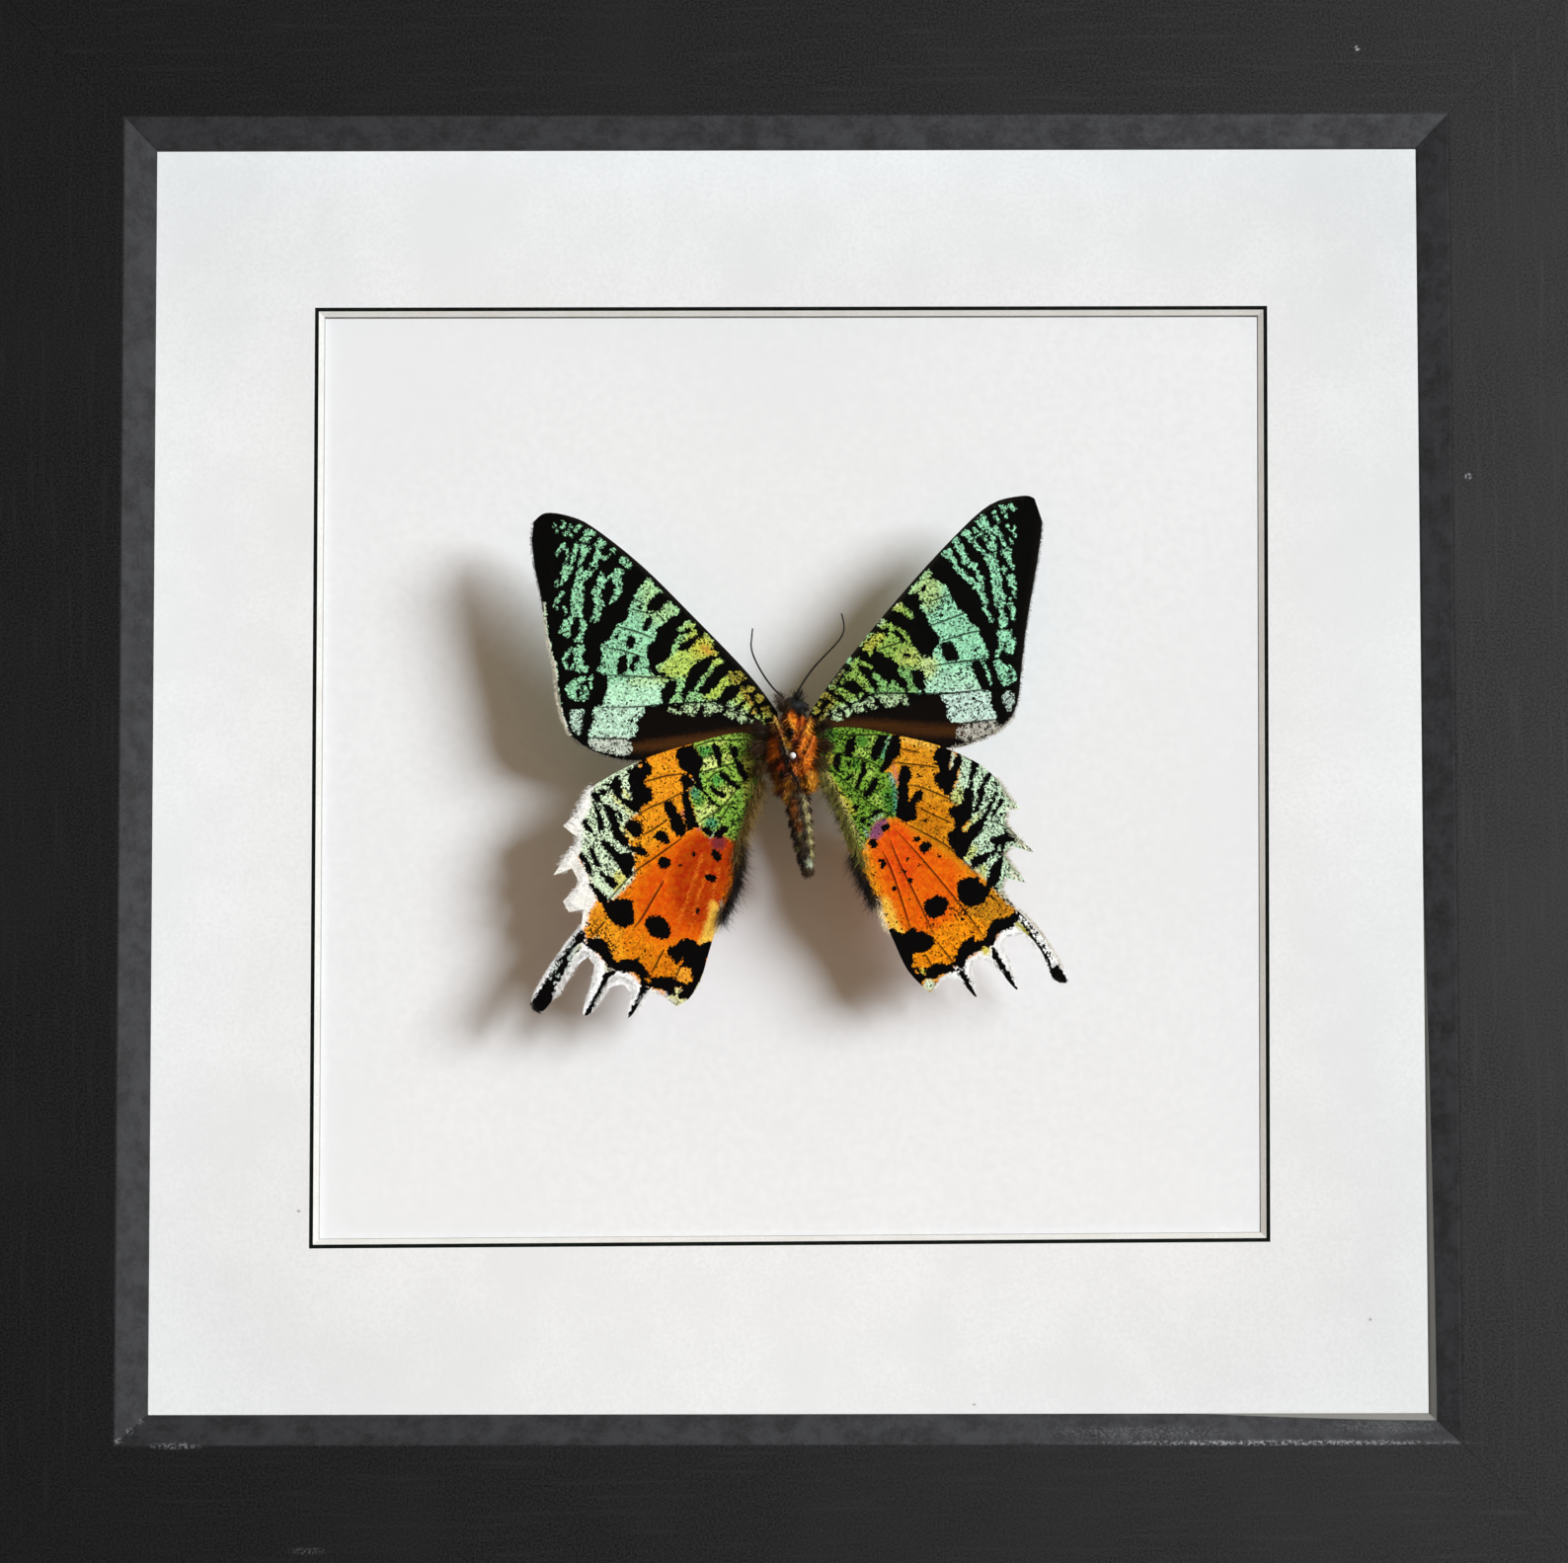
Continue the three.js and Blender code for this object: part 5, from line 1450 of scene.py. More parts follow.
# %% Right hind wing marks
RIGHT_HIND_OUTLINE = """
s822 740,862 738.5,900 745,950 757,990 775,1010 792;
t1020 808,1033 821,1019 822,1018 837,1047 865,1023 858,1017 868;
t1038 895,1016 890,1013 903,1027 920;
s1043 937,1060 956,1075 982,1078 996,1064 990,1053 964,1034 944,1018 948;
s1013 960,1023 982,1029 1003,1014 988,997 971;
s983 973,980 987,988 1011,968 991,954 990;
s941 1006,918 983,900 945,880 911,864 876,851 838,828 780"""
RIGHT_HIND_DARK = """
889 748,894 746,898 748,896 753,895 758,893 763,890 768,886 772,883 772,881 766,881 761,884 756,887 751;
902 748,906 745,911 746,911 752,912 758,912 764,910 768,907 770,903 774,900 778,898 781,893 785,891 782,
893 776,895 769,897 762,899 756,901 751;910 783,911 780,914 777,918 777,921 780,922 785,922 790,919 794,
919 800,919 806,919 811,921 812,924 807,928 803,932 802,934 805,933 810,929 814,927 818,928 824,928 829,
925 832,919 834,914 834,910 831,907 828,907 821,908 813,909 806,909 798;857 754,860 750,863 747,866 748,
866 755,865 760,863 765,861 769,857 768,855 763,855 758;858 775,860 772,862 772,862 777,859 778;874 773,
877 773,877 779,876 785,873 791,871 796,868 800,865 800,866 795,869 789,871 783,872 777;861 786,864 784,
863 788,859 791,856 791;884 790,887 788,889 791,888 797,886 802,882 806,878 809,873 809,874 805,878 800,
881 795;843 772,848 764,851 764,851 772,850 780,848 783,844 779;862 820,868 817,872 816,870 819,866 821;
o880 837 2.5 1.5;884 823,888 821,893 823,889 826,884 829,879 830,875 834,872 836,871 832,875 829,880 827;
o896 839.5 4 3.5;880 855,882 851,886 851,888 855,886 860,881 859;888 873,892 871,896 872,896 877,893 880,
890 879,892 876;o927 851 3.5 3;930 860,932 856,936 854,941 854,942 858,940 863,936 866,932 864;
o936.5 833 2.2 1.8;o921 893 2.2;o904 901 2;o914 884 2.5 1;o951 868 1.8;o930 878 1.5;o918 872 1.2;944 768,
946 762,949 759,955 758,961 761,966 762,969 764,973 768,974 772,972 778,969 785,968 792,965 798,964 803,
960 807,956 806,953 802,949 798,946 793,945 789,949 784,951 781,949 777,946 772;984 771,990 773,992 777,
988 780,988 786,985 790,984 793,985 797,983 801,986 803,985 810,986 815,984 822,985 826,982 831,978 836,
974 840,975 843,978 842,982 838,986 835,991 831,996 826,998 830,996 836,994 841,991 845,988 850,985 852,
983 856,981 860,979 864,976 869,974 872,970 871,968 867,966 863,962 859,960 855,959 850,959 846,963 843,
966 838,965 833,962 828,960 823,964 819,968 817,971 815,975 812,975 804,976 800,981 798,981 790,982 782;
1002 784,1004 787,1000 791,997 796,996 802,996 808,994 814,991 819,990 823,986 824,987 817,989 811,
988 805,990 800,994 795,995 790,999 787;1007 790,1009 796,1008 803,1010 806,1006 812,1004 818,1002 822,
1000 827,998 830,997 826,999 820,1002 814,1005 808,1007 802;1013 811,1016 811,1014 816,1011 821,1008 824,
1006 828,1003 826,1006 822,1009 817;o1013 826 1.5;o1010 832 1.2;999 856,1001 852,1006 849,1012 847,
1018 843,1022 845,1027 850,1029 854,1023 854,1018 856,1016 861,1016 867,1015 872,1014 878,1012 886,
1012 892,1008 896,1003 899,1000 902,999 896,1001 890,1000 884,1003 878,1008 874,1012 869,1009 866,
1008 869,1004 868,1002 863,1005 862,1006 857,1002 855;981 873,985 869,990 868,996 866,1001 864,1003 866,
1000 871,996 875,991 877,988 880,984 880,982 877;968 905,968 899,970 894,975 891,981 890,988 889,991 891,
993 895,995 897,998 894,1003 890,1006 885,1010 878,1013 876,1012 888,1009 893,1003 899,1001 905,998 911,
993 916,988 918,981 919,975 917,970 912;935 921,936 915,940 911,945 909,951 908,957 911,960 916,958 922,
954 927,948 930,941 930,937 927;899 943,903 941,908 945,914 947,918 943,922 940,927 943,934 945,940 947,
944 950,945 956,942 960,937 964,931 966,926 966,922 969,924 976,928 980,933 981,940 980,947 976,955 977,
962 976,966 972,968 965,971 958,976 954,983 950,986 953,991 953,997 950,999 942,1002 936,1008 932,
1016 930,1024 926,1028 922,1031 926,1032 931,1027 935,1024 940,1016 943,1010 947,1007 952,1005 957,
1000 960,994 962,986 966,979 970,976 976,975 981,970 983,962 985,953 987,947 991,941 992,936 992,932 998,
930 1000,920 988,911 974,904 960,900 949;~3 1006 900,1014 908,1024 917,1032 926,1038 932;~3.4 1032 932,
1040 944,1050 958,1058 970,1063 980;1059 974,1064 980,1070 977,1074 984,1080 993,1077 995,1071 997,
1065 994,1062 986;~1.2 1040 935,1044 941;o1049 946 1.5;~1 1054 957,1062 968;1002 960,1006 961,1010 968,
1016 978,1022 988,1028 999,1029 1002,1026 1005,1021 998,1014 987,1007 976,1002 968;968 983,974 983,
978 989,983 999,987 1008,988 1011,985 1011,979 1003,973 993,970 988;~1.5 1002 908,1008 915,1014 922;
~1.2 1012 908,1018 914;~1.5 968 925,974 932;~1.2 972 918,978 926"""
RIGHT_HIND_LIGHT = """
963 769,965 763,967 765,966 770,964 775,963 780,961 781,962 775;984 828,987 824,992 824,994 829,990 831,
985 832;~2 982 833,978 838;o976 841 2.5;~2 986 803,987 808;~2 988 811,986 818;~2 1003 858,1001 863;
~2 1012 858,1011 862;~2 1008 866,1010 870;931 983,936 983,935 987,932 987;o927 985 1.2;o924 978 1.5 2;
934 994,939 992,945 994,944 999,940 1004,936 1000;992 962,997 960,1002 962,1003 967,998 966,993 964;
~2 965 980,972 984;~1.4 1010 905,1018 913;~1.2 1024 919,1030 925;991 890,996 890,997 896,995 898"""
RIGHT_HIND_VEINS = """
903 774,925 776,948 779;919 796,935 800,957 809,968 816;928 818,945 827,963 835;914 834,935 845,955 856,
972 870,990 888;905 840,925 862,945 885,968 913,985 935,996 950;893 862,905 890,921 940;900 850,910 875,
925 905,945 947;946 952,965 976;936 966,942 978;838 763,850 765,862 768,875 771,890 778,893 784;870 805,
860 797,850 788,835 776;870 806,880 815,893 823,905 828;845 745,865 746,888 746;912 760,930 764;1000 832,
1020 840,1030 852"""
RIGHT_HIND_MARGIN = """
972 766,990 774,1012 790,1036 818,1050 866,1040 897,1030 920,1008 904,1004 896,996 890,984 880,974 870,
980 860,984 840,974 816,962 808,968 796,972 780"""
RIGHT_HIND_TAILS = """
1030 922,1046 934,1068 956,1084 996,1064 998,1046 966,1034 950,1022 952,1036 1010,1012 1000,992 976,
994 1016,968 1000,950 994,966 980,984 968,1004 956,1014 942,1024 934"""
RIGHT_HIND_GREEN = """
816 736,845 733,870 734,890 740,903 744,901 758,897 772,895 782,902 786,907 796,908 812,907 828,895 830,
885 835,878 850,870 862,850 850,836 812,820 780"""
RIGHT_HIND_TINTS = f"""
3 #f6bc48: ~6 908 750,930 754,950 760/
8 #ef8410: 905 830,925 843,958 858,985 885,1000 905,1004 930,968 960,930 960,900 930,880 870,884 850/
10 #ea6408: 905 834,925 848,952 862,972 890,962 930,940 946,912 936,890 890,884 856/
8 #e8560c: 890 846,912 836,926 860,930 890,912 900,898 884,886 862/
5 #c98418: 1004 903,1026 922,1004 934,990 948,978 922/
5 #f3900e: 944 944,984 930,996 944,968 976,930 982,922 968/
5 #d28010: 922 838,925 812,962 822,958 846,985 884,960 868/
2 #c8e6c4: {RIGHT_HIND_MARGIN}/
2 #cfdc84: 962 808,972 798,976 812,970 818;~4 992 826,976 842;978 862,988 856,986 870,976 872;990 878,
998 878,996 890/
2 #74a434: {RIGHT_HIND_GREEN}/
3 #a9cf58: 867 748,888 748,882 768,866 768;876 782,886 778,882 792,878 790;862 786,868 784,864 798;
880 810,896 806,898 820/
3 #4f8f30: 868 746,880 750,876 758,866 756;892 806,905 800,906 824,898 822;862 772,870 770,868 782;
830 742,848 744,838 756/
3 #bcb43c: ~7 838 786,850 806,864 824;832 764,843 764,842 776,834 774/
5 #42541c: 814 736,836 738,838 772,834 792,820 784/
2 #c9b870: ~4 834 780,848 806,862 836,876 862/
2 #54b08e: ~4 901 786,905 798,907 812,906 824;~3 900 748,896 758,893 770/
1.2 #b4dcc8: ~1.6 901 749,896 758;~1.4 900 786,905 796;~2 882 832,892 827;~2 874 840,879 850/
2 #8a4f70: 884 836,898 830,894 842,890 850,880 850/
1.2 #d88070: o908 792 2 4;o910 810 1.5;~2 904 776,908 788/
2 #fcc044: 892 910,899 911,905 925,910 938,915 947,904 946,896 935,892 924/
2 #f8efd0: ~5 888 912,892 930,897 945/
2 #fbfbf8: {RIGHT_HIND_TAILS}/
2 #aaa238: ~6 1026 934,1036 942,1043 951/
2 #efe6cc: ~3 1018 820,1033 821;~3 1026 852,1047 866;~3 1020 884,1038 896;~2 1012 905,1028 921/
2 #dccb50: o934 985 4;o997 963 5/
2 #d4e4c4: o940 998 6;o964 773 3 10"""
RIGHT_HIND_FLECKS = f"""
8 -0.3: 905 834,958 860,985 890,960 920,925 930,900 920,884 855/
3 1.1: {RIGHT_HIND_GREEN}/
3 0.95: {RIGHT_HIND_MARGIN}/
4 0.5: 960 916,1000 904,1024 922,1000 936,980 950/
2 -0.5: {RIGHT_HIND_TAILS}/
2 0.3: ~10 1032 928,1050 950,1066 978"""

# %% Right hind wing
RIGHT_HIND_EDGES = (
    (add_dark, RIGHT_HIND_DARK, 0.2),
    (lift_light, RIGHT_HIND_LIGHT, 0.3),
)
make_wing("right_hindwing", RIGHT_HIND_OUTLINE,
          dict(tint="#e0941c", shade="#050404", black=False, fleck=0.15),
          {"tint": RIGHT_HIND_TINTS, "fleck": RIGHT_HIND_FLECKS},
          RIGHT_HIND_EDGES, RIGHT_HIND_VEINS, HIND_FORWARD, (826, 757))

# %% [markdown]
# ## Hair
# Fur and fringes are what make the moth look alive. One hair is a thin three-sided spike that bends once
# or twice. Thousands of them are laid out from arrays of roots, aims and lengths and joined into one
# mesh, each with a tint of its own. A seeded random generator keeps every run the same.

# %% Hair maker
rng = np.random.default_rng(20)
HAIR_RINGS = 3
HAIR_SIDES = 3
HAIR_TAPER = 0.75


def comb(name, roots, aims, lengths, thickness, tints, bend=0.25):
    count = len(roots)
    aims = aims / np.linalg.norm(aims, axis=1, keepdims=True)
    sideways = np.cross(aims, rng.normal(size=(count, 3)))
    sideways /= np.linalg.norm(sideways, axis=1, keepdims=True)
    other = np.cross(aims, sideways)
    curl = rng.normal(scale=bend, size=(count, 1)) * sideways
    curl = curl + rng.normal(scale=bend, size=(count, 1)) * other
    rings = []
    for step in range(HAIR_RINGS):
        t = step / HAIR_RINGS
        middle = roots + lengths[:, None] * (aims * t + curl * t * t)
        girth = thickness * (1 - HAIR_TAPER * t)
        for corner in range(HAIR_SIDES):
            angle = 2 * math.pi * corner / HAIR_SIDES
            rings.append(middle + girth * (math.cos(angle) * sideways + math.sin(angle) * other))
    rings.append(roots + lengths[:, None] * (aims + curl))
    points = np.stack(rings, axis=1)
    per_hair = points.shape[1]
    faces = [tuple(reversed(range(HAIR_SIDES)))]
    for step in range(HAIR_RINGS):
        low, high = HAIR_SIDES * step, HAIR_SIDES * (step + 1)
        for corner in range(HAIR_SIDES):
            ahead = (corner + 1) % HAIR_SIDES
            top = (high + ahead, high + corner) if step < HAIR_RINGS - 1 else (per_hair - 1,)
            faces.append((low + corner, low + ahead, *top))
    all_faces = [tuple(index + per_hair * hair for index in face) for hair in range(count) for face in faces]
    mesh = bpy.data.meshes.new(name)
    mesh.from_pydata((points.reshape(-1, 3) * MM).tolist(), [], all_faces)
    store_colours(mesh, "tint", np.repeat(tints, per_hair, axis=0))
    piece = bpy.data.objects.new(name, mesh)
    bpy.context.collection.objects.link(piece)
    face_outward(piece)
    mesh.materials.append(HAIR)
    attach(piece, "root")
    print(name, "has", count, "hairs")
    return piece


HAIR, tree, shader = new_finish("fine_hair", roughness=0.6, specular=0.2)
own_tint = add_node(tree, "Attribute", attribute_name="tint")
strands = add_node(tree, "HueSaturation")
join(tree, own_tint.outputs["Color"], strands.inputs["Color"])
uneven = remap(tree, noise(tree, object_place(tree), 2200, 2.0), 0.3, 0.7, 0.82, 1.2)
join(tree, uneven, strands.inputs["Value"])
set_colour(tree, shader, strands.outputs["Color"])

# %% [markdown]
# ## The body
# Head, thorax and abdomen start as round primitives sunk into one another, with two small swellings at
# the end of the thorax. A voxel remesh melts them into one skin, and a smoothing pass takes away the
# steps. Six legs are folded over the chest: each is a curve with a round section that thins towards the
# foot.

# %% Body skin
# Each lump: its place in the photograph, its height over the board and its radii in millimetres
THORAX = ((802, 764), 11.6, (3.5, 3.2, 6.0))
HEAD = ((803, 717), 11.9, (1.75, 1.6, 1.5))
EYES = (((793, 717), 11.9, (0.8, 0.8, 0.8)), ((813, 717), 11.9, (0.8, 0.8, 0.8)))
HIPS = (((796, 797), 11.4, (1.6, 1.7, 1.9)), ((819, 789), 11.6, (1.4, 1.7, 1.9)))
ABDOMEN_START, ABDOMEN_END = np.array((805.0, 798.0)), np.array((817.0, 880.0))
ABDOMEN_HEIGHTS = (11.6, 9.6)
ABDOMEN_RADII = (1.7, 1.9, 1.85, 1.75, 1.65, 1.5, 1.3, 0.95)
ABDOMEN_STEP = 1.25
LEG_RADIUS = 0.42 * MM
LEG_TAPER = (1.0, 0.55)
SKIN_CELL = 0.16 * MM
# Each leg: photograph places of its joints, with the height of each over the board
LEGS = (
    ((797, 722, 12.2), (800, 736, 14.4), (805, 753, 15.3)),
    ((811, 722, 12.2), (813, 736, 14.3), (808, 757, 15.3)),
    ((783, 728, 13.0), (790, 744, 15.0), (797, 772, 15.6), (809, 797, 14.2)),
    ((821, 728, 13.0), (815, 746, 15.2), (808, 770, 15.8), (797, 796, 14.4)),
    ((786, 752, 13.8), (791, 772, 14.8), (795, 792, 13.6), (796, 812, 12.2)),
    ((824, 748, 13.2), (817, 766, 15.2), (811, 781, 15.0), (822, 803, 12.4)),
)


def moth_point(spot, height):
    across, up = pixels_to_mm(np.array([spot], float))[0]
    return Vector((across, BOARD_FRONT / MM - height, up)) * MM


def add_lump(spot, height, radii):
    deselect_all()
    bpy.ops.mesh.primitive_uv_sphere_add(segments=24, ring_count=16, location=moth_point(spot, height))
    lump = bpy.context.object
    lump.scale = Vector(radii) * MM
    freeze_place(lump)
    return lump


def add_thread(name, points, radii, thickness):
    deselect_all()
    bpy.ops.curve.primitive_nurbs_path_add()
    thread = added(name)
    thread.data.splines.clear()
    run = thread.data.splines.new("NURBS")
    run.points.add(len(points) - 1)
    for knot, point, radius in zip(run.points, points, radii):
        knot.co = (*point, 1)
        knot.radius = radius
    run.use_endpoint_u = True
    run.order_u = 3
    run.resolution_u = 6
    thread.data.bevel_depth = thickness
    thread.data.bevel_resolution = 2
    thread.data.use_fill_caps = True
    make_active(thread)
    bpy.ops.object.convert(target="MESH")
    return bpy.context.object


def join_pieces(pieces):
    make_active(pieces[0])
    for piece in pieces:
        piece.select_set(True)
    bpy.ops.object.join()


lumps = [add_lump(*THORAX), add_lump(*HEAD)] + [add_lump(*lump) for lump in EYES + HIPS]
for step, radius in enumerate(ABDOMEN_RADII):
    t = step / (len(ABDOMEN_RADII) - 1)
    height = ABDOMEN_HEIGHTS[0] * (1 - t) + ABDOMEN_HEIGHTS[1] * t
    lumps.append(add_lump(ABDOMEN_START * (1 - t) + ABDOMEN_END * t, height, (radius, radius, ABDOMEN_STEP)))
for number, leg in enumerate(LEGS):
    points = [moth_point(knot[:2], knot[2]) for knot in leg]
    lumps.append(add_thread(f"leg_{number}", points, np.linspace(*LEG_TAPER, len(points)), LEG_RADIUS))
join_pieces(lumps)
body = added("moth_body")
melt = body.modifiers.new("melt", "REMESH")
melt.mode = "VOXEL"
melt.voxel_size = SKIN_CELL
smoothing = body.modifiers.new("smooth", "SMOOTH")
smoothing.factor = 0.5
smoothing.iterations = 3
apply_modifiers(body)
make_active(body)
bpy.ops.object.shade_smooth()
print("body skin has", len(body.data.polygons), "faces")

# %% [markdown]
# ## Colour of the fur
# The chest is fiery orange with dark bands where the legs lie, partly the legs' own colour and partly
# painted shade, and painted yellow highlights along their edges; the abdomen is dark brown with a row of
# pale scales. The same brushes that painted the wings colour the skin, the legs and the hairs.

# %% Body paint
# The #dc9a24 and #d8ac50 rows are painted highlights along the legs' lit edges; the #130a04 row is partly
# the legs' own dark colour and partly painted shade beside them.
BODY_TINTS = """
3 #5a2a0a: 788 724,816 722,826 740,828 770,826 796,808 806,790 806,780 790,776 768,780 740/
2 #c8660a: 777 752,786 748,788 762,790 767,787 771,779 771,775 762/
1.5 #c8660a: 799 721,806 721,807 728,815 728,815 740,809 742,808 753,802 756,802 746,804 742,799 737,
796 732;821 730,823 738,820 749,816 758,813 766,809 769,807 760,811 752,814 744,818 735;822 746,826 750,
827 757,823 763,823 776,818 781,811 779,811 772,816 766,820 757;802 775,809 777,816 780,819 785,812 789,
805 787/
1.5 #c88418: 825 776,828 783,825 788,830 792,828 799,821 803,814 799,810 793,813 789,818 785,822 779/
1.2 #ea8a14: o784 765 4 3;~3.5 823 764,815 775;~3 812 762,816 752;~3 804 726,806 744;o810 781 4 2/
1.5 #a8420a: o810 734 3 4;o790 778 3.5 4;~3 806 754,812 744/
1.0 #dc9a24: ~3 798 730,803 739;792 748,797 751,801 758,800 761,795 759;~3 821 731,818 740,816 747;
~2.5 826 778,820 788/
2 #8a520e: 785 782,792 784,794 792,792 799,784 801;796 789,804 791,806 800,801 806,795 805,793 798/
1.2 #b8821c: o787 798 3 2;o802 804 3.5 1.8;791 808,796 806,800 809,801 814,794 815;~2 798 794,802 800/
1.0 #130a04: ~4.5 788 734,790 746,794 762,797 773,801 785,806 793,810 801;~2.6 815 738,811 748,808 756,
805 763;~2.8 820 751,815 762,811 771,807 779;794 741,801 740,805 747,800 753,794 748;~2 812 788,818 790;
o792 787 3 4;~3 783 772,790 772/
1.5 #5c1a06: 803 767,808 768,808 776,803 776/
1.2 #6a6040: o797 764 2 4/
0.9 #d8ac50: ~2.2 783 727,786 734,788 740/
0.9 #9a560e: ~2.2 788 740,791 747/
2 #3a2a14: 786 711,800 711,801 720,790 723/
2 #0c0b0b: 802 706,815 706,816 728,807 726,801 720/
3 #3a2a16: 798 808,812 804,824 850,826 884,812 886,803 850/
2.5 #8a4c14: ~6 803 812,804 828;o808 838 3 6/
1.5 #15100a: ~4 801 830,806 856,810 878;o812 822 1.6 5;o813 846 1.6 6;o815 866 2 6;o812 874 2.5 5/
1.5 #8c8250: ~4 813 808,817 828,820 848,822 868;o807 860 2;o810 848 1.5 3/
1.0 #cfc48c: o815 814 1.6 2;o818 828 1.5 2;o820 840 1.6;o821 853 1.5 2.2;o822 863 1.6;o809 832 1.2/
0.9 #2a2012: o817 821 1.2;o819 835 1.2;o821 847 1.2;o822 858 1.2/
1.5 #c8d0b0: o819 875 3.5 4"""


def body_tints(spots):
    coat = new_coat(spots, tint="#2a1608", shade="#141210", black=False, fleck=0.0)
    brush_rows(coat, "tint", BODY_TINTS)
    return coat["tint"]


places = vertex_places(body.data) / MM
store_colours(body.data, "tint", body_tints(mm_to_pixels(places[:, 0], places[:, 2])))

FUZZ_SCALE = (3800, 2500, 1200)
FUZZ_RELIEF = 0.2 * MM
SKIN, tree, shader = new_finish("moth_skin", roughness=0.65, specular=0.25)
own_tint = add_node(tree, "Attribute", attribute_name="tint")
place = object_place(tree)
fuzz_map = add_node(tree, "Mapping")
fuzz_map.inputs["Scale"].default_value = FUZZ_SCALE
join(tree, place, fuzz_map.inputs["Vector"])
fuzz = noise(tree, fuzz_map.outputs["Vector"], 1.0, 4.0, 0.7)
strands = add_node(tree, "HueSaturation")
join(tree, own_tint.outputs["Color"], strands.inputs["Color"])
join(tree, remap(tree, fuzz, 0.3, 0.7, 0.25, 1.6), strands.inputs["Value"])
set_colour(tree, shader, strands.outputs["Color"])
join(tree, remap(tree, fuzz, 0.3, 0.7, 0.5, 0.8), shader.inputs["Roughness"])
add_bump(tree, shader, fuzz, 0.6, FUZZ_RELIEF)
body.data.materials.append(SKIN)
stand_for(body, "fur", "body")
print("body painted")

# %% [markdown]
# ## Fur on the body
# Hair grows from points strewn over the skin. On the chest it lies down towards the tail and fans out at
# the sides; on the abdomen it is short and close. Long brown hairs cover the roots of the wings.

# %% Body fur
FUR_COUNT = 6000
FUR_THICKNESS = 0.065
TAIL_FROM, HEAD_ABOVE = 806, 722
COMBED_DOWN = np.array((0.0, -0.1, -0.9))
ROOT_DEPTH = 0.05

areas = np.empty(len(body.data.polygons))
body.data.polygons.foreach_get("area", areas)
centres, normals = face_vectors(body.data, "center") / MM, face_vectors(body.data, "normal")
chosen = rng.choice(len(areas), FUR_COUNT, p=areas / areas.sum())
roots, outward = centres[chosen], normals[chosen]
spots = mm_to_pixels(roots[:, 0], roots[:, 2])
on_tail = spots[:, 1] > TAIL_FROM
aims = outward * np.where(on_tail, 0.35, 0.6)[:, None] + COMBED_DOWN
aims = aims + rng.normal(scale=0.28, size=roots.shape)
aims[:, 0] += 0.5 * np.sign(outward[:, 0]) * np.abs(outward[:, 0]) ** 2
at_sides = 1 + 1.2 * np.abs(outward[:, 0]) ** 2
lengths = np.where(on_tail, rng.uniform(0.35, 0.8, FUR_COUNT), rng.uniform(0.3, 0.75, FUR_COUNT) * at_sides)
lengths[spots[:, 1] < HEAD_ABOVE] *= 0.7
tints = body_tints(spots) * rng.uniform(0.5, 1.5, (FUR_COUNT, 1))
fur = comb("body_fur", roots - ROOT_DEPTH * outward, aims, lengths, FUR_THICKNESS, tints)

# %% Hair over the wing roots
# Each row: place in the photograph, aim across and up, spread, length, colour and number of hairs
ROOT_TUFTS = (
    ((772, 742), (-1.0, 0.1), 8, 1.6, "#2c1c10", 300),
    ((770, 760), (-1.0, -0.3), 9, 1.8, "#3a2410", 300),
    ((772, 778), (-0.6, -1.0), 7, 1.8, "#4a3414", 220),
    ((831, 738), (1.0, 0.1), 7, 1.5, "#2c1c10", 260),
    ((833, 756), (1.0, -0.3), 8, 1.7, "#3a2410", 260),
    ((831, 774), (0.7, -1.0), 7, 1.7, "#4a3c18", 220),
    ((790, 712), (-0.6, 0.8), 6, 1.0, "#3c2c20", 140),
    ((808, 709), (0.1, 1.0), 6, 0.9, "#0e0b09", 180),
)
TUFT_HEIGHT = 12.4
TUFT_THICKNESS = 0.04
root_parts = []
for spot, (aim_x, aim_z), spread, length, colour, count in ROOT_TUFTS:
    around = np.array(spot) + rng.normal(scale=spread / 2, size=(count, 2))
    flat = pixels_to_mm(around)
    depth = BOARD_FRONT / MM - TUFT_HEIGHT - rng.uniform(0, 1.2, count)
    roots = np.column_stack((flat[:, 0], depth, flat[:, 1]))
    aims = np.tile((aim_x, -0.25, aim_z), (count, 1)) + rng.normal(scale=0.35, size=(count, 3))
    shades = np.tile(linear(colour), (count, 1)) * rng.uniform(0.5, 1.8, (count, 1))
    root_parts.append((roots, aims, length * rng.uniform(0.4, 1.1, count), shades))
roots, aims, lengths, shades = (np.concatenate(part) for part in zip(*root_parts))
tufts = comb("wing_root_fur", roots, aims, lengths, TUFT_THICKNESS, shades)

# %% [markdown]
# ## Feelers and pin
# The feelers are thin black threads that curve away from the head and taper to a point. The pin is drawn
# as a maker would turn it: a ring for the tip, pulled out into a shaft, with a round white head.

# %% Feelers
FEELERS = {
    "left": ((794, 709), (786, 703), (775, 689), (765, 672), (760, 658), (761, 648), (762, 638)),
    "right": ((806, 705), (814, 691), (826, 675), (840, 661), (852, 648), (856, 636), (852, 623)),
}
FEELER_HEIGHT = 12.4
FEELER_RADIUS = 0.16 * MM
FEELER_TAPER = (1.0, 0.7)
RING_RELIEF = 0.05 * MM
FEELER, tree, shader = new_finish("feeler_thread", roughness=0.7, specular=0.2)
rings = add_node(tree, "TexWave", Scale=900.0, Distortion=2.0, bands_direction="Z")
join(tree, object_place(tree), rings.inputs["Vector"])
set_colour(tree, shader, mix_colours(tree, rings.outputs["Fac"], linear("#0d0b0a"), linear("#241e1a")))
add_bump(tree, shader, rings.outputs["Fac"], 0.3, RING_RELIEF)
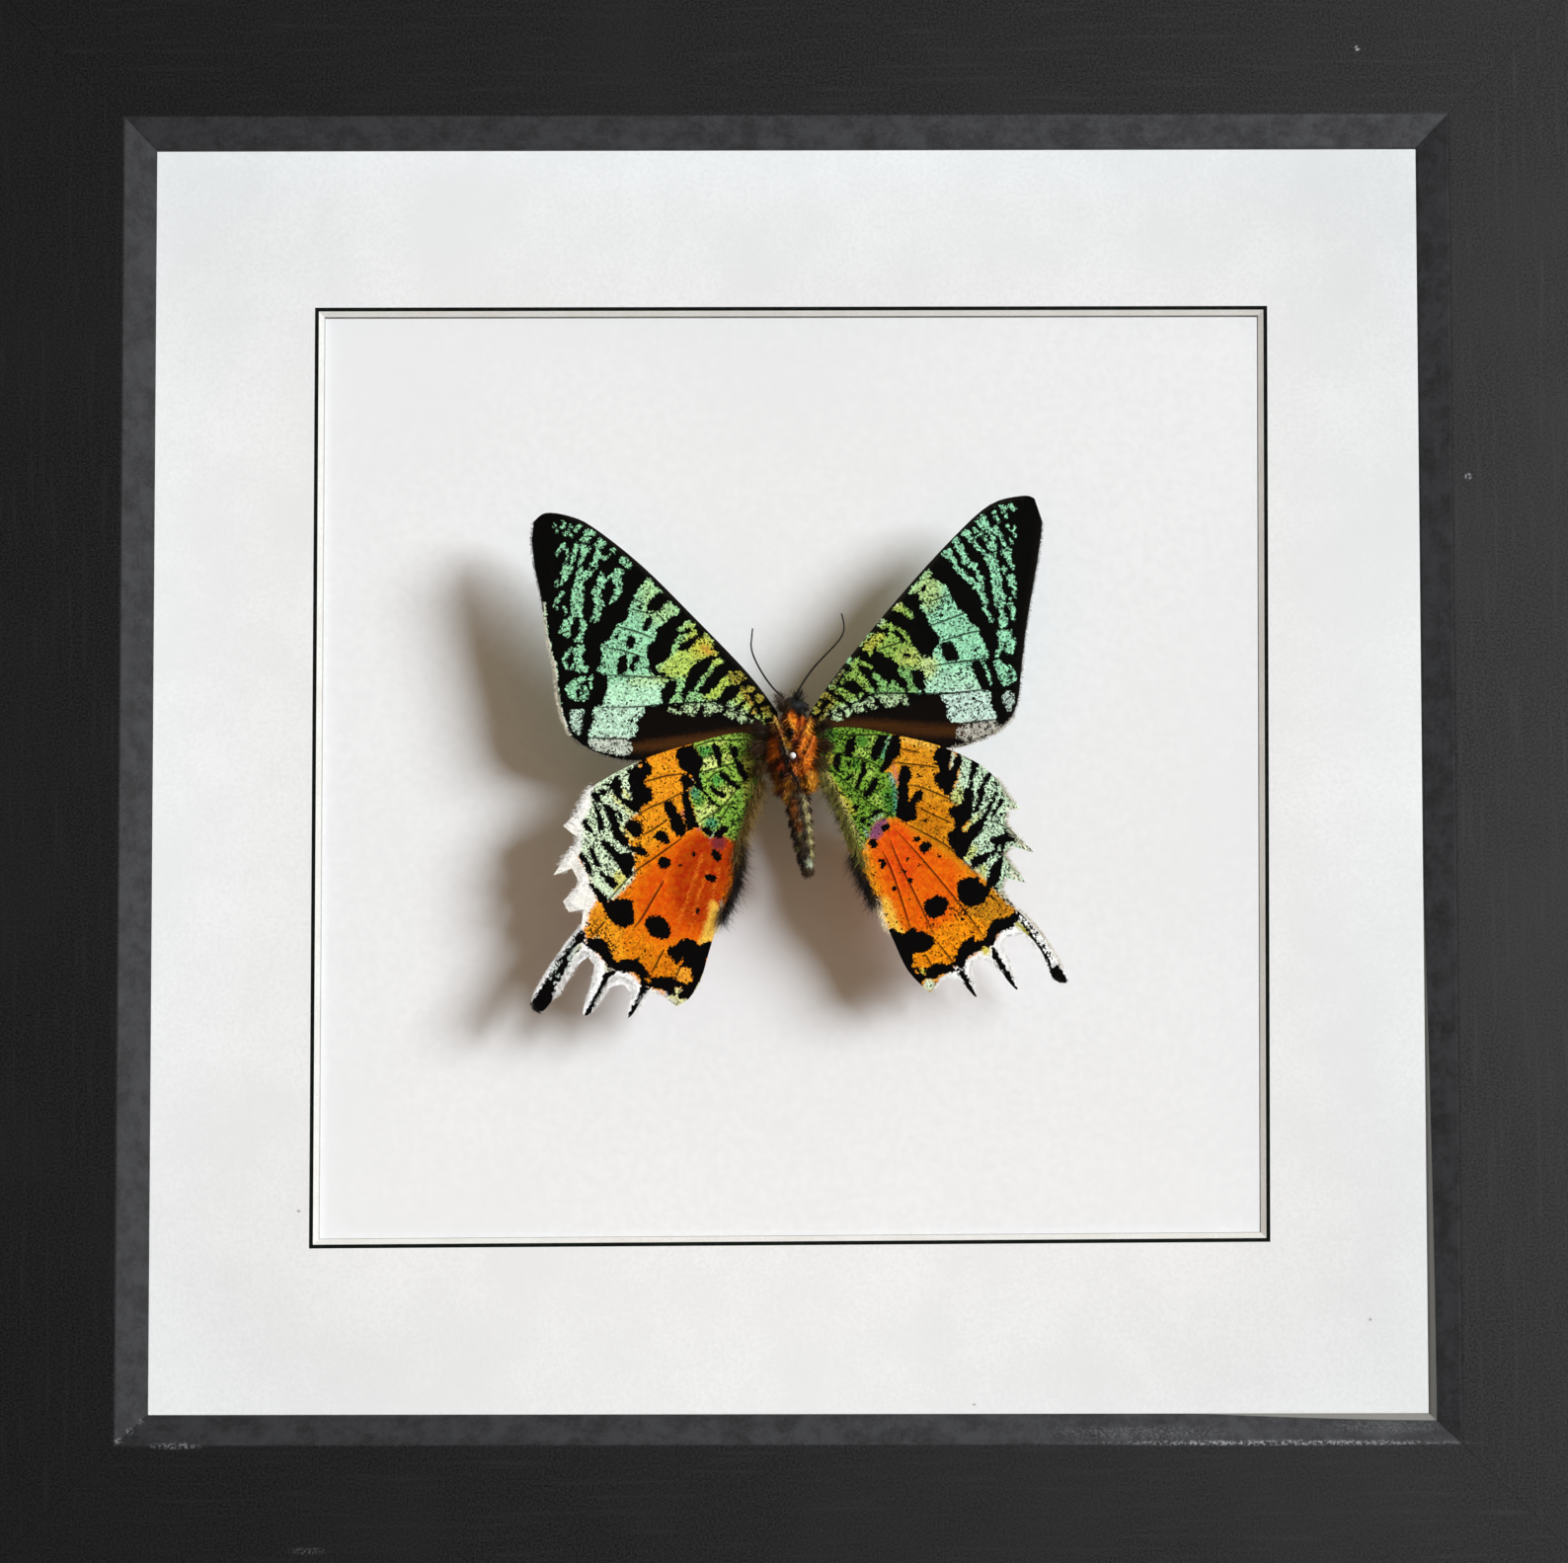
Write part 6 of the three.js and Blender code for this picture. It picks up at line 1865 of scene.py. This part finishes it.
for side_name, knots in FEELERS.items():
    points = [moth_point(knot, FEELER_HEIGHT) for knot in knots]
    tapers = np.linspace(*FEELER_TAPER, len(points))
    feeler = add_thread(f"{side_name}_feeler", points, tapers, FEELER_RADIUS)
    make_active(feeler)
    bpy.ops.object.shade_smooth()
    feeler.data.materials.append(FEELER)
    stand_for(feeler, "antenna", f"{side_name}_antenna")
print("two feelers")

# %% Pin
PIN_RADIUS = 0.25 * MM
PIN_HEAD_RADIUS = 0.48 * MM
PIN_SPOT_PHOTO = (802.5, 770)
PIN_TOP_HEIGHT, PIN_TIP_HEIGHT = 16.9, -4.0
TIP_SHARE = 0.15
TIP_WIDENING = 6.6
TIP_LENGTH = 1.5 * MM
HEAD_FLATTENING = 0.85
SMOOTH_PIN_BELOW = math.radians(40)
pin_top = moth_point(PIN_SPOT_PHOTO, PIN_TOP_HEIGHT)
pin_tip = moth_point(PIN_SPOT_PHOTO, PIN_TIP_HEIGHT)
deselect_all()
bpy.ops.mesh.primitive_circle_add(vertices=16, radius=PIN_RADIUS * TIP_SHARE, fill_type="NGON",
                                  location=pin_tip, rotation=(math.pi / 2, 0, 0))
pin = added("specimen_pin")
freeze_place(pin)
edit_mode()
bpy.ops.mesh.select_all(action="SELECT")
bpy.ops.mesh.extrude_region_move(TRANSFORM_OT_translate={"value": (0, -TIP_LENGTH, 0)})
bpy.ops.transform.resize(value=(TIP_WIDENING, 1, TIP_WIDENING))
shaft = pin_top.y - pin_tip.y + TIP_LENGTH
bpy.ops.mesh.extrude_region_move(TRANSFORM_OT_translate={"value": (0, shaft, 0)})
face_outward(pin)
bpy.ops.object.shade_smooth_by_angle(angle=SMOOTH_PIN_BELOW)
PIN_STEEL, tree, shader = new_finish("pin_steel", roughness=0.3, metallic=1.0)
cloudy = noise(tree, object_place(tree), 900)
set_colour(tree, shader, mix_colours(tree, cloudy, linear("#b4b4b4"), linear("#d8d8d8")))
pin.data.materials.append(PIN_STEEL)
head_radius = PIN_HEAD_RADIUS / MM
head = add_lump(PIN_SPOT_PHOTO, PIN_TOP_HEIGHT, (head_radius, head_radius * HEAD_FLATTENING, head_radius))
bpy.ops.object.shade_smooth()
PIN_WHITE, tree, shader = new_finish("pin_head_white", roughness=0.25, specular=0.5)
cloudy = noise(tree, object_place(tree), 1500)
set_colour(tree, shader, mix_colours(tree, cloudy, linear("#f4f4f2"), linear("#e2e2de")))
head.data.materials.append(PIN_WHITE)
join_pieces([pin, head])
stand_for(pin, "pin", "pin")
print("pin is", round((pin_tip.y - pin_top.y) / MM, 1), "mm long")

# %% [markdown]
# ## Fringes
# Hair also edges the wings: a pale or dark row along each fore wing, long white hairs round the tails and
# teeth of the hind wings, and golden and black fur along their inner margins. Each row follows a few
# points on the outline, with an aim that turns outward from the wing.

# %% Fringe rows
FRINGE_SPREAD = 0.35
FRINGE_LIFT = 0.1
FRINGE_THICKNESS = 0.035


def fringe_row(forward, text, aim, length, colours, per_pixel, jitter):
    path = rounded(read_points(text), closed=False, steps=8)
    steps = np.linalg.norm(np.diff(path, axis=0), axis=1)
    total = np.concatenate(([0], np.cumsum(steps)))
    count = int(total[-1] * per_pixel)
    where = np.sort(rng.uniform(0, total[-1], count))
    around = np.column_stack([np.interp(where, total, path[:, axis]) for axis in (0, 1)])
    around += rng.normal(scale=jitter, size=around.shape)
    flat = pixels_to_mm(around)
    depth = wing_depth(flat[:, 0], flat[:, 1], forward) + rng.uniform(-0.1, 0.1, count)
    share = (where / total[-1])[:, None]
    turned = np.array(aim[:2]) * (1 - share) + np.array(aim[2:]) * share
    aims = np.column_stack((turned[:, 0], -FRINGE_LIFT * np.ones(count), turned[:, 1]))
    aims = aims + rng.normal(scale=FRINGE_SPREAD, size=(count, 3))
    codes = np.array([linear(code) for code in colours])
    shades = codes[rng.integers(0, len(codes), count)] * rng.uniform(0.9, 1.12, (count, 1))
    roots = np.column_stack((flat[:, 0], depth, flat[:, 1]))
    return roots, aims, length * rng.uniform(0.45, 1.1, count), shades


WHITE_HAIR = ("#fafaf8", "#f2f2ee", "#ffffff")
CREAM_HAIR = ("#d8cfb8", "#c9c0aa", "#e6e0d0")
GREY_HAIR = ("#8c867c", "#6e6a62", "#a8a298")
DARK_HAIR = ("#17130f", "#241c16", "#0e0c0a")
GOLD_HAIR = ("#8a6c34", "#6e5428", "#a88a4c", "#5a5020")
OLIVE_HAIR = ("#84803a", "#6e6428", "#a09848", "#4a4018")
STRAW_HAIR = ("#f0e0b0", "#f4ead0")
# Each row: points, aim across and up at both ends, length, colours, hairs for each pixel and scatter
FRINGES = {
    "left_forewing": (
        ("551 612,553 640,557 660,562 680,563 700,566 715,571 733,578 746",
         (-1, 0, -1, -0.5), 0.55, CREAM_HAIR, 5, 0.8),
        ("540 529,538 548,541 575,547 603,551 620", (-1, 0, -1, 0), 0.35, DARK_HAIR, 4, 0.5),
        ("578 746,588 754,605 763,640 771,680 767",
         (-0.6, -1, 0.2, -1), 0.4, DARK_HAIR + GREY_HAIR, 4, 0.8),
    ),
    "right_forewing": (
        ("1055 530,1052 556,1046 592,1039 632,1033 680,1030 708,1024 727",
         (1, 0, 1, -0.3), 0.5, DARK_HAIR, 5, 0.8),
        ("1036 670,1035 682", (1, 0, 1, -0.2), 0.5, WHITE_HAIR, 8, 0.6),
        ("1026 726,1012 739,990 750,962 758", (0.8, -1, 0.1, -1), 0.6, GREY_HAIR + CREAM_HAIR, 7, 1.0),
    ),
    "left_hindwing": (
        ("600 800,592 812,588 824,578 836", (-1, 0.2, -1, 0), 0.8, WHITE_HAIR, 12, 2.2),
        ("588 842,590 850,580 864,570 880", (-1, 0, -1, -0.3), 0.9, WHITE_HAIR, 12, 2.2),
        ("588 876,592 890,586 902,578 914,592 920", (-1, -0.3, -1, -0.6), 0.8, WHITE_HAIR, 12, 2.2),
        ("590 938,576 956,556 984,541 1010", (-0.8, 0.4, -1, 0.2), 0.5, WHITE_HAIR, 9, 1.2),
        ("560 1008,572 990,584 972,596 964,606 974,604 990,596 1014",
         (0.8, -0.6, -0.9, -0.4), 0.75, WHITE_HAIR, 14, 1.4),
        ("603 1016,612 1001,622 990,634 989,644 998,642 1014",
         (0.9, -0.6, -0.9, -0.4), 0.75, WHITE_HAIR, 14, 1.4),
        ("645 1022,654 1006,668 1004,682 1014", (0.8, -0.8, 0.1, -1), 0.55, WHITE_HAIR, 11, 1.2),
        ("538 1014,541 1020,547 1024", (-0.5, -1, 0.4, -1), 0.4, DARK_HAIR, 14, 1.0),
        ("770 790,762 812,754 836,748 856,744 872", (0.5, -1, 0.3, -1), 2.6, GOLD_HAIR, 12, 2.4),
        ("750 850,748 872,746 892,738 912,730 930", (0.35, -1, -0.1, -1), 2.8, DARK_HAIR, 14, 2.4),
        ("730 912,729 926,725 942", (0.5, -1, 0.2, -1), 0.8, STRAW_HAIR, 10, 1.2),
    ),
    "right_hindwing": (
        ("1008 790,1018 806,1026 816", (0.8, 0.5, 1, 0), 0.6, CREAM_HAIR, 9, 1.4),
        ("1018 824,1018 838,1034 856", (1, 0, 1, -0.6), 0.7, CREAM_HAIR, 9, 1.4),
        ("1022 858,1016 868,1030 886", (1, 0, 1, -0.6), 0.7, CREAM_HAIR, 9, 1.4),
        ("1016 890,1013 904,1024 918", (1, 0, 1, -0.6), 0.6, CREAM_HAIR, 9, 1.4),
        ("1030 922,1046 938,1062 960,1074 982", (1, 0.7, 1, 0.3), 0.45, CREAM_HAIR, 7, 1.0),
        ("1054 968,1044 954,1034 946,1020 948,1014 956,1020 974,1026 992",
         (-0.7, -0.7, 0.9, -0.3), 0.4, WHITE_HAIR, 9, 0.9),
        ("1014 986,1004 974,992 970,984 974,982 986,986 1002",
         (-0.6, -0.8, 0.9, -0.3), 0.4, WHITE_HAIR, 9, 0.9),
        ("976 996,966 990,954 990,944 1002", (-0.6, -0.8, -0.3, -1), 0.4, WHITE_HAIR, 8, 0.9),
        ("1066 990,1074 994,1079 993", (-0.3, -1, 0.9, -0.6), 0.35, DARK_HAIR, 12, 0.8),
        ("830 782,844 806,856 832,866 856,874 876", (-0.4, -1, -0.1, -1), 2.4, OLIVE_HAIR, 12, 2.2),
        ("864 862,870 880,878 900,886 914", (-0.4, -1, 0.1, -1), 2.8, DARK_HAIR, 16, 2.4),
        ("836 790,848 816,858 840", (-0.6, -1, -0.5, -1), 1.8, DARK_HAIR, 6, 2.0),
        ("886 914,892 928,897 942", (-0.4, -1, 0.1, -1), 1.0, STRAW_HAIR, 10, 1.4),
    ),
}
for solid, rows in FRINGES.items():
    forward = HIND_FORWARD if "hind" in solid else FORE_FORWARD
    parts = [fringe_row(forward, *row) for row in rows]
    roots, aims, lengths, shades = (np.concatenate(part) for part in zip(*parts))
    fringe = comb(f"{solid}_fringe", roots, aims, lengths, FRINGE_THICKNESS, shades)

# %% [markdown]
# ## Who is lit by what
# Each piece joins the group of its side of the glass. The moth is the only thing that throws
# shadows from the inner lights.

# %% Light linking
OUTER_SOLIDS = ("back_panel", "back_tab", "hanger")
for piece in bpy.context.scene.objects:
    if piece.type != "MESH" or piece.hide_render or piece == floor or piece.name in outside.objects:
        continue
    if piece.name.startswith(OUTER_SOLIDS):
        outside.objects.link(piece)
        continue
    if piece.name != "glass":
        behind_glass.objects.link(piece)
    if not piece.name.startswith(("spacer", "glass")):
        moth_and_boards.objects.link(piece)
        if piece.name not in ("window_mat", "backing_board"):
            moth.objects.link(piece)
